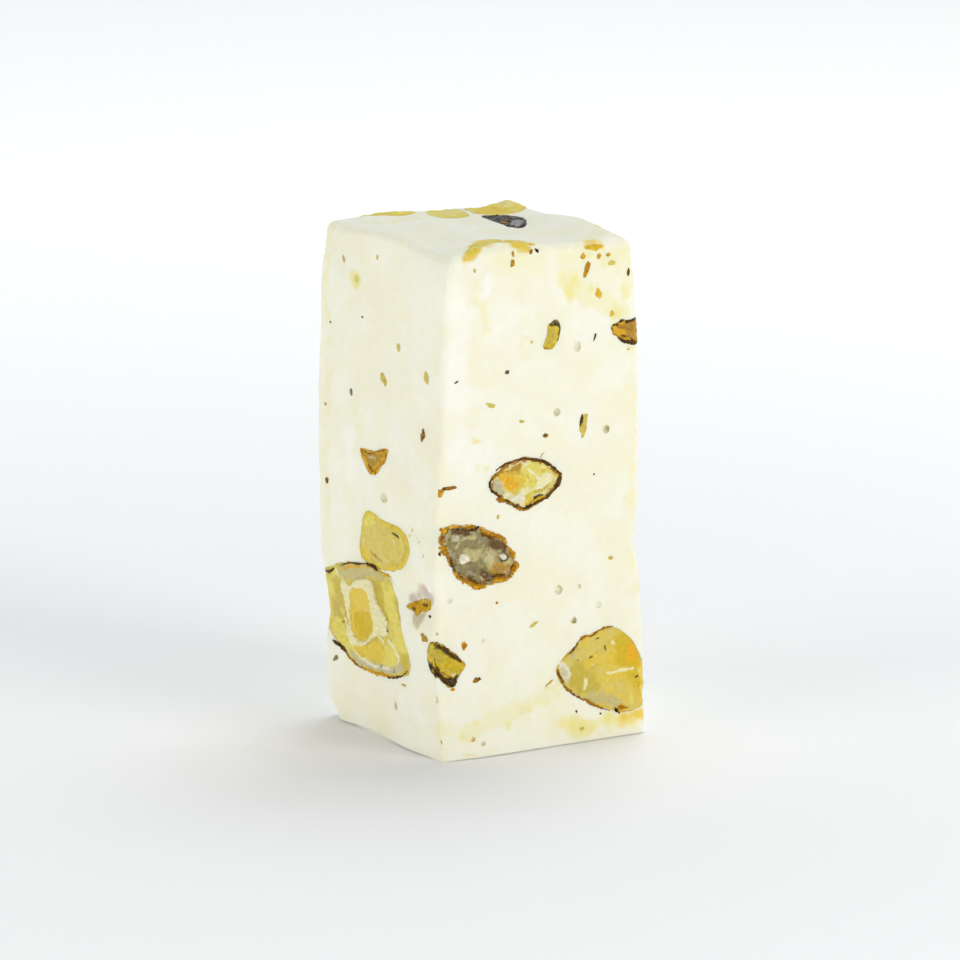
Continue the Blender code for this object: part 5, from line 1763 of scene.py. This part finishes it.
            Tint.LEAF_YELLOW: ((0.16, 0.3, -0.05, -32, -17, -6, -4, 12, 9),),
            Tint.CHIP_WHITE: ((0.14, 0.2, 0.05, -36, -6, -18, 9, 6, 21), (0.12, 0.16, 0.05, 26, 29, 36, 30)),
            Tint.YOLK: ((0.12, 0.2, -0.03, -34, -28, -12, -22, 14, -8),),
        },
        lips=(
            (Tint.BARK, 0.15, 0.18, 0.12, 53, 36, 18, 55, -22, 32, -51, -6),
            (Tint.RUST, 0.15, 0.2, 0.1, -51, -6, -55, -34, -23, -47, 23, -35),
            (Tint.BARK_DARK, 0.13, 0.16, 0.1, 55, 0, 53, 36, 18, 55),
        ),
        rims=((Tint.RUST, 0.12, 0.16),),
    ),
    Nut(
        "hazelnut_back_low", Side.BACK, (-5.6, 11.6, 15.6), 3.8, CREAM_FINISH, Slot.HAZELNUT,
        (40.1, 8.5, 23.1, 30.8, -6.7, 31.4, -33.5, 18, -40.6, -6.3, -22.8, -32, 7.2, -34, 32.7, -14.4),
        marks={
            Tint.LEAF_YELLOW: ((0, 0.35, 0.03, -6, 16, 18, 18, 26, -4, 8, -16, -6, -2),),
            Tint.RIPE_ORANGE: ((0, 0.3, 0.04, -28, -4, -16, 6, -8, -6, -16, -16),),
            Tint.CHIP_WHITE: ((0, 0.2, 0.05, 9, 12, 22, 9, 24, -3, 12, -1),),
            Tint.KERNEL_OLIVE: ((0.14, 0.2, -0.03, 2, -14, 15, -16),),
            Tint.BARK: ((0.12, 0.14, -0.06, -12, 17, 0, 21),),
        },
        lips=(
            (Tint.BARK_DARK, 0.17, 0.18, 0.12, 23, 30, -7, 31, -33, 18, -40, -6),
            (Tint.RUST, 0.17, 0.22, 0.1, -40, -6, -22, -31, 7, -33, 32, -14),
            (Tint.BARK, 0.14, 0.18, 0.1, 39, 8, 23, 30, -7, 31, -33, 18),
        ),
        rims=((Tint.BARK, 0.3, 0.3),),
    ),
    Nut(
        "nut_wedge_back", Side.BACK, (6.4, 11.6, 8.0), 2.2, GOLD_FINISH, Slot.ALMOND,
        (27.2, -12.7, 26.6, 6.9, 7.2, 15.4, -15.5, 17.1, -26.7, 13.8, -23.5, -0.1, -7.8, -16.7, 12.9, -22.6),
        marks={
            Tint.CORE_GOLD: ((0, 0.12, 0.03, -16, 9, 8, 4, 16, -9, -6, -4),),
        },
        lips=(
            (Tint.RUST, 0.15, 0.2, 0.1, 27, -12, 26, 7, 7, 15, -15, 17),
        ),
        rims=((Tint.RUST, 0.3, 0.3),),
    ),
    Nut(
        "nut_small_back", Side.BACK, (-7.2, 12.2, 43.6), 1.7, BROWN_FINISH, Slot.SKIN,
        (12.2, 14.6, 0.6, 17, -8.7, 7.3, -14.1, -5.7, -12.8, -14, -2.6, -15.4, 9.4, -7.9, 15.4, 4.6),
        marks={
            Tint.KERNEL_TAN: ((0, 0.1, 0.02, -6, -8, 6, 0, 9, 10, -2, 4),),
        },
        lips=(
            (Tint.BARK_DARK, 0.14, 0.16, 0.1, 1, 17, -8, 7, -14, -6),
        ),
        rims=((Tint.RUST, 0.3, 0.3), (Tint.BARK_DARK, 0.12, 0.2)),
    ),
    Nut(
        "almond_half_right", Side.RIGHT, (12.1, 3.4, 27.0), 3.8, GOLD_FINISH, Slot.ALMOND,
        (43.4, -30.4, 47.2, 2, 17.9, 25.5, -19.4, 37.6, -42.2, 32.2, -43.1, 3.7, -19.3, -27.6, 16.7, -41.4),
        marks={
            Tint.CHIP_WHITE: ((0, 0.18, 0.12, -24, 17, -6, 13, 19, -3, 27, -17, 10, -19, -16, -4),
            (0.1, 0.16, 0.05, 29, -9, 36, -19)),
            Tint.CORE_GOLD: ((0, 0.16, -0.16, -17, 10, -4, 8, 14, -6, 18, -13, 2, -9, -11, 1),),
            Tint.LEAF_YELLOW: ((0, 0.4, 0, -36, 24, -26, 26, -12, 19, -24, 16),),
            Tint.YOLK: ((0.14, 0.24, 0, 12, -26, 28, -29, 38, -26),),
        },
        lips=(
            (Tint.BARK_DARK, 0.13, 0.16, 0.1, 46, 2, 17, 25, -19, 37, -41, 31),
            (Tint.RUST, 0.14, 0.2, 0.1, -42, 4, -19, -27, 16, -40, 42, -30, 46, 2),
        ),
        rims=((Tint.RUST, 0.1, 0.16),),
    ),
    Nut(
        "hazelnut_right_low", Side.RIGHT, (12.3, 5.8, 12.3), 3.0, GREY_FINISH, Slot.HAZELNUT,
        (31.9, 8.5, 17.5, 24.7, -6.3, 23.7, -27.4, 12.1, -32.3, -6.9, -17.3, -25.7, 6.9, -25.7, 26.7, -9.4),
        marks={
            Tint.KERNEL_GREY: ((0, 0.14, 0, -18, 4, -4, 14, 8, 4, 0, -10, -14, -8),),
            Tint.RIPE_ORANGE: ((0, 0.2, 0.04, 8, 9, 22, 10, 23, -6, 12, -10),),
        },
        lips=(
            (Tint.BARK_DARK, 0.17, 0.18, 0.12, 31, 8, 17, 24, -6, 23, -27, 12, -32, -7),
            (Tint.RUST, 0.18, 0.24, 0.1, -32, -7, -17, -25, 7, -25, 26, -9, 31, 8),
            (Tint.AMBER, 0.15, 0.24, 0.08, 31, 8, 17, 24, -6, 23, -27, 12),
        ),
        ragged=0.22,
        bumps=(1.1, 0.16),
        rims=((Tint.BARK_DARK, 0.8, 0.4), (Tint.RUST, 0.5, 0.5)),
    ),
    Nut(
        "nut_small_right", Side.RIGHT, (11.9, -3.6, 40.2), 1.6, TEARDROP_FINISH, Slot.ALMOND,
        (14.7, 10.3, 4.8, 15.4, -6, 8.5, -14, -2.2, -15.2, -9.7, -6.4, -13, 6.4, -9.2, 15.2, 0.4),
        marks={
            Tint.CORE_GOLD: ((0.12, 0.1, 0.02, -10, -6, 2, 1, 11, 7),),
        },
        lips=(
            (Tint.BARK, 0.12, 0.14, 0.08, 5, 15, -6, 8, -14, -2),
        ),
        rims=((Tint.BARK, 0.12, 0.14),),
    ),
)

# What the nougat's own faces show, across and up each face.
BODY_MARKS = {
    Side.FRONT: {
        Tint.STAIN_SOFT: ((0.94, 2.2, 0, 73, 511, 100, 515), (0.73, 2, 0, 106, 508, 105, 468),
        (0.63, 2, 0, 33, 492, 55, 477, 81, 466), (0.84, 2.2, 0, -32, 521, 7, 521, 49, 519),
        (0.32, 1.4, 0, 112, 425, 114, 361, 116, 286, 116, 222, 119, 157), (0, 1.4, 0, -117, 25, -82, 24, -46,
        34, -10, 47, 27, 57, 36, 66, 17, 62, -22, 55, -58, 42, -91, 36, -116, 38),
        (0.53, 1.4, 0, -72, 485, -63, 453)),
        Tint.STAIN: ((0.73, 1.6, 0, 31, 498, 41, 487), (0.42, 1.6, 0, 54, 477, 69, 467, 83, 462),
        (0.42, 1.6, 0, 88, 470, 95, 450), (0.32, 1, 0, 51.4, 523.2, 57.4, 518.5),
        (0.37, 1.2, 0, 64, 482, 76, 469), (0.53, 1.6, 0, 78, 510, 100, 514),
        (0.26, 1.2, 0, 105, 485, 106, 474), (0.26, 0.9, 0, 84.3, 459.4, 88, 450.6),
        (0.34, 1.4, 0, -91, 26, -58, 31, -28, 42, 2, 52, 22, 62), (0.42, 1.6, 0, 27, 24, 57, 14, 83, 17),
        (0.63, 1.4, 0, 76, 20, 103, 18, 125, 20), (0.25, 0.9, 0, -72, 312, -63, 309)),
        Tint.STAIN_DEEP: ((0.34, 0.8, 0.03, 56, 532, 66, 533, 75, 529),
        (0.13, 0.5, 0, 50.2, 521.2, 55, 518.7), (0.1, 0.4, 0, 10, 66, 17, 62, 27, 70),
        (0.73, 1, 0, 105, 22, 126, 22), (0.16, 0.5, 0.03, -90, 537, -79, 539, -68, 540, -51, 541),
        (0.14, 0.4, 0.03, -37, 542, -25, 539, -10, 533)),
        # The first two rows are raised chalky patches; the wide third row is a painted highlight along the
        # lit near edge.
        Tint.NOUGAT_CHALK: ((0.32, 1, 0.08, -59, 509, -65, 497, -72, 483, -79, 467),
        (0.21, 0.7, 0.07, -50, 452, -37, 463, -23, 474),
        (1.26, 2.6, 0, -98, 488, -98, 425, -96, 363, -86, 309)),
        Tint.LEAF_YELLOW: ((0.08, 0.5, 0, -78.2, 338.8, -69.9, 336.8),),
    },
    Side.LEFT: {
        Tint.STAIN_SOFT: ((0.21, 1.2, 0, -95, 412, -94, 348, -94, 273, -94, 218),
        (0.21, 1.2, 0, -110, 531, -106, 484, -102, 432)),
        # Painted shadow in the sunken hollow above the crumb.
        Tint.BRUISE: ((0, 0.9, -0.1, 64, 165, 74, 175, 87, 182, 103, 183, 113, 177, 107, 170, 89, 170, 74,
        166),),
        # The second row is painted shade in the sunken hollow below the crumb.
        Tint.BLOOM_GREY: ((0.15, 0.6, 0, 22, 179, 34, 181, 40, 177),
        (0, 0.5, -0.06, 72, 150, 94, 156, 82, 137)),
        Tint.KERNEL_OLIVE: ((0.08, 0.12, -0.05, 67, 243, 76, 239, 86, 231, 92, 223, 96, 217),
        (0.06, 0.12, -0.05, 63, 236.7, 70.8, 232.9)),
        Tint.STAIN: ((0.32, 1.2, 0, -55.5, 486.7, -49, 482.5),),
        Tint.NOUGAT_CHALK: ((0.53, 1.4, 0.03, -52, 323, -46, 271), (0.53, 1.6, 0.03, 34, 61, 82, 40)),
    },
    Side.BACK: {
        Tint.STAIN_SOFT: ((0.9, 2.2, 0, -90, 490, -66, 460), (0.6, 1.8, 0, 98, 260, 102, 180),
        (0.7, 1.8, 0, -80, 36, -20, 56, 30, 50)),
        Tint.STAIN: ((0.3, 1.2, 0, -76, 476, -70, 464), (0.2, 1, 0, -50, 46, -26, 54)),
        Tint.NOUGAT_CHALK: ((0.4, 1.2, 0.06, 40, 440, 30, 400), (0.3, 1, 0.05, -60, 200, -50, 170)),
    },
    Side.RIGHT: {
        Tint.STAIN_SOFT: ((0.9, 2.2, 0, -90, 494, -74, 460), (0.5, 1.8, 0, 94, 420, 92, 340),
        (0.8, 1.8, 0, -96, 30, -46, 40)),
        Tint.STAIN: ((0.3, 1.2, 0, -88, 486, -82, 472),),
        Tint.STAIN_DEEP: ((0.35, 0.9, 0, -106, 29, -94, 34),),
        Tint.NOUGAT_CHALK: ((0.4, 1.2, 0.06, 10, 300, 2, 260),),
    },
    Side.TOP: {
        Tint.STAIN_DEEP: ((0.12, 0.3, 0.04, -94, 118, -77, 129, -62, 135, -50, 135),
        (0.09, 0.3, 0, 113, 32, 115, 3, 114, -31, 103, -73), (0.25, 0.5, 0.03, 43, -140, 57, -135, 55, -154)),
        Tint.AMBER: ((0.09, 0.2, 0, 108.3, 56, 111.6, 47),),
        Tint.CORE_GOLD: ((0, 0.5, 0.06, -91, -121, -71, -100, -45, -69, -30, -65, -20, -70, -27, -93, -40,
        -105, -56, -109, -75, -124, -94, -139),
        (0, 0.5, 0.06, -26, -93, -11, -82, -7, -91, -6, -112, -11, -135, -27, -152, -25, -127, -30, -111)),
        Tint.STAIN: ((0.42, 1, 0, -52, -98, -34, -96, -24, -108), (0.32, 0.8, 0, 53, -166, 66, -167)),
        Tint.STAIN_SOFT: ((0.6, 1.6, 0, 76, -106, 98, -86), (0.5, 1.6, 0, -70, 86, -30, 80)),
    },
}

# The crumbs on each face: place across and up, half sizes, turn in degrees and tint.
CRUMBS = (
    (Side.FRONT, (
        (5.34, 34.12, 1.16, 0.4, 78, Tint.KERNEL_OLIVE), (5.14, 34.62, 0.62, 0.24, 80, Tint.BARK_DARK),
    )),
    (Side.LEFT, ((8.44, 34.24, 0.57, 0.37, 80, Tint.BARK),)),
    (Side.FRONT, (
        (-10.65, 29.27, 0.83, 0.21, 4, Tint.BARK), (-11.71, 28.87, 0.47, 0.42, 0, Tint.AMBER),
        (-7.34, 8.53, 0.54, 0.32, 20, Tint.BARK), (-8.89, 12.36, 0.36, 0.37, 0, Tint.RUST),
        (-12.45, 9.43, 0.43, 0.18, 70, Tint.BARK_DARK), (-12.57, 6.78, 0.43, 0.3, 90, Tint.CORE_GOLD),
        (-12.22, 2.03, 0.3, 0.27, 0, Tint.RUST), (5.63, 50.29, 0.84, 0.3, 75, Tint.AMBER),
        (5.4, 50, 0.5, 0.16, 70, Tint.RUST), (7.09, 47.75, 0.63, 0.36, 100, Tint.CORE_GOLD),
        (8.8, 45.48, 0.32, 0.24, 90, Tint.CORE_GOLD), (6.7, 52.7, 0.97, 0.36, 0, Tint.CORE_GOLD),
        (5.26, 51.89, 0.3, 0.31, 0, Tint.AMBER), (7.19, 51.71, 0.31, 0.24, 90, Tint.RUST),
        (8.28, 51.72, 0.24, 0.21, 0, Tint.RUST), (8.77, 50.84, 0.43, 0.26, 0, Tint.KERNEL_TAN),
        (10.71, 49.81, 0.47, 0.18, 90, Tint.BARK), (-3.1, 52.9, 0.36, 0.18, 90, Tint.RUST),
        (-3.1, 51.94, 0.47, 0.3, 90, Tint.RUST), (-7.58, 51.54, 0.21, 0.18, 90, Tint.KERNEL_OLIVE),
        (-0.96, 52.9, 0.26, 0.24, 90, Tint.BARK), (-0.25, 53, 0.26, 0.18, 110, Tint.BARK_DARK),
        (6.75, 43.26, 0.42, 0.12, 75, Tint.BARK_DARK), (-0.94, 43.51, 0.18, 0.16, 0, Tint.LEAF_YELLOW),
        (-5.81, 37.43, 0.54, 0.21, -10, Tint.KERNEL_TAN), (0.76, 33.57, 0.3, 0.21, 0, Tint.RUST),
        (-2.12, 35.36, 0.3, 0.16, 0, Tint.KERNEL_OLIVE), (10.76, 41.59, 0.18, 0.16, 0, Tint.LEAF_YELLOW),
        (-4.85, 25.55, 0.26, 0.18, 90, Tint.KERNEL_OLIVE), (-3.91, 40.68, 0.24, 0.21, 0, Tint.HUSK_GREY),
        (-9.82, 40.25, 0.24, 0.1, 30, Tint.BARK_DARK), (6.7, 28.77, 0.12, 0.11, 0, Tint.BARK_DARK),
        (-4.96, 16.44, 0.18, 0.16, 0, Tint.RUST), (-0.39, 13.51, 0.55, 0.2, 30, Tint.KERNEL_TAN),
        (8.81, 19.54, 0.31, 0.21, 0, Tint.KERNEL_OLIVE), (5.48, 1.51, 0.25, 0.22, 0, Tint.KERNEL_OLIVE),
        (4.74, 3.46, 0.16, 0.12, 90, Tint.BARK_DARK), (7.68, 2.84, 0.12, 0.11, 0, Tint.BARK_DARK),
        (-10.2, 7.85, 0.3, 0.16, 0, Tint.RUST), (-12.09, 13.95, 0.24, 0.16, 0, Tint.KERNEL_OLIVE),
    )),
    (Side.LEFT, (
        (8.78, 40.34, 0.7, 0.4, 80, Tint.KERNEL_TAN), (1.09, 38.71, 0.85, 0.42, -50, Tint.KERNEL_OLIVE),
        (3.66, 42.61, 0.41, 0.33, 90, Tint.KERNEL_TAN), (-5.01, 36.39, 0.37, 0.29, 90, Tint.HUSK_GREY),
        (-9.93, 34.26, 0.2, 0.16, 0, Tint.RUST), (-9.53, 26.15, 0.32, 0.3, 90, Tint.BARK),
        (-0.6, 28.79, 0.97, 0.3, 0, Tint.RUST), (-7.76, 50.11, 0.41, 0.25, 120, Tint.KERNEL_PALE),
        (-1.26, 51.21, 0.31, 0.17, 90, Tint.KERNEL_TAN), (9.81, 13.16, 0.62, 0.46, 0, Tint.KERNEL_BROWN),
        (-8.71, 6.88, 0.54, 0.23, 30, Tint.KERNEL_GREY), (5.34, 7.1, 0.42, 0.11, 0, Tint.RUST),
        (10.34, 15.5, 0.3, 0.16, 0, Tint.BARK_DARK), (3.47, 4.38, 0.45, 0.18, 90, Tint.BLOOM_GREY),
        (-3.22, 44.63, 0.19, 0.1, 0, Tint.BARK_DARK), (-9.45, 43.09, 0.19, 0.11, 0, Tint.BARK_DARK),
    )),
)


def main() -> None:
    """Build the bite and its studio."""
    logging.basicConfig(level=logging.INFO, format="%(name)s: %(message)s")
    EFFECTS.build()
    nougat = NougatBlock(marks=BODY_MARKS)
    block = nougat.build_whole()
    faces = [face.vertices[:] for face in block.data.polygons]
    skin = BVHTree.FromPolygons(points_of(block).tolist(), faces)
    whole = block.copy()
    whole.data = block.data.copy()
    bpy.context.scene.collection.objects.link(whole)
    bubbles = nougat.cut_bubbles(block, skin)
    others = {}
    for nut in NUTS:
        nut.build(whole, skin, others)
        nut.build_lips(skin)
        others[nut.node] = nut
        pocket = nut.whole(POCKET_MARGIN)
        carve(block, pocket, "DIFFERENCE")
        drop(pocket)
    drop(whole)
    nougat.dress(block, bubbles)
    Crumbs(CRUMBS).build(skin)
    Studio().build()


if __name__ == "__main__":
    main()
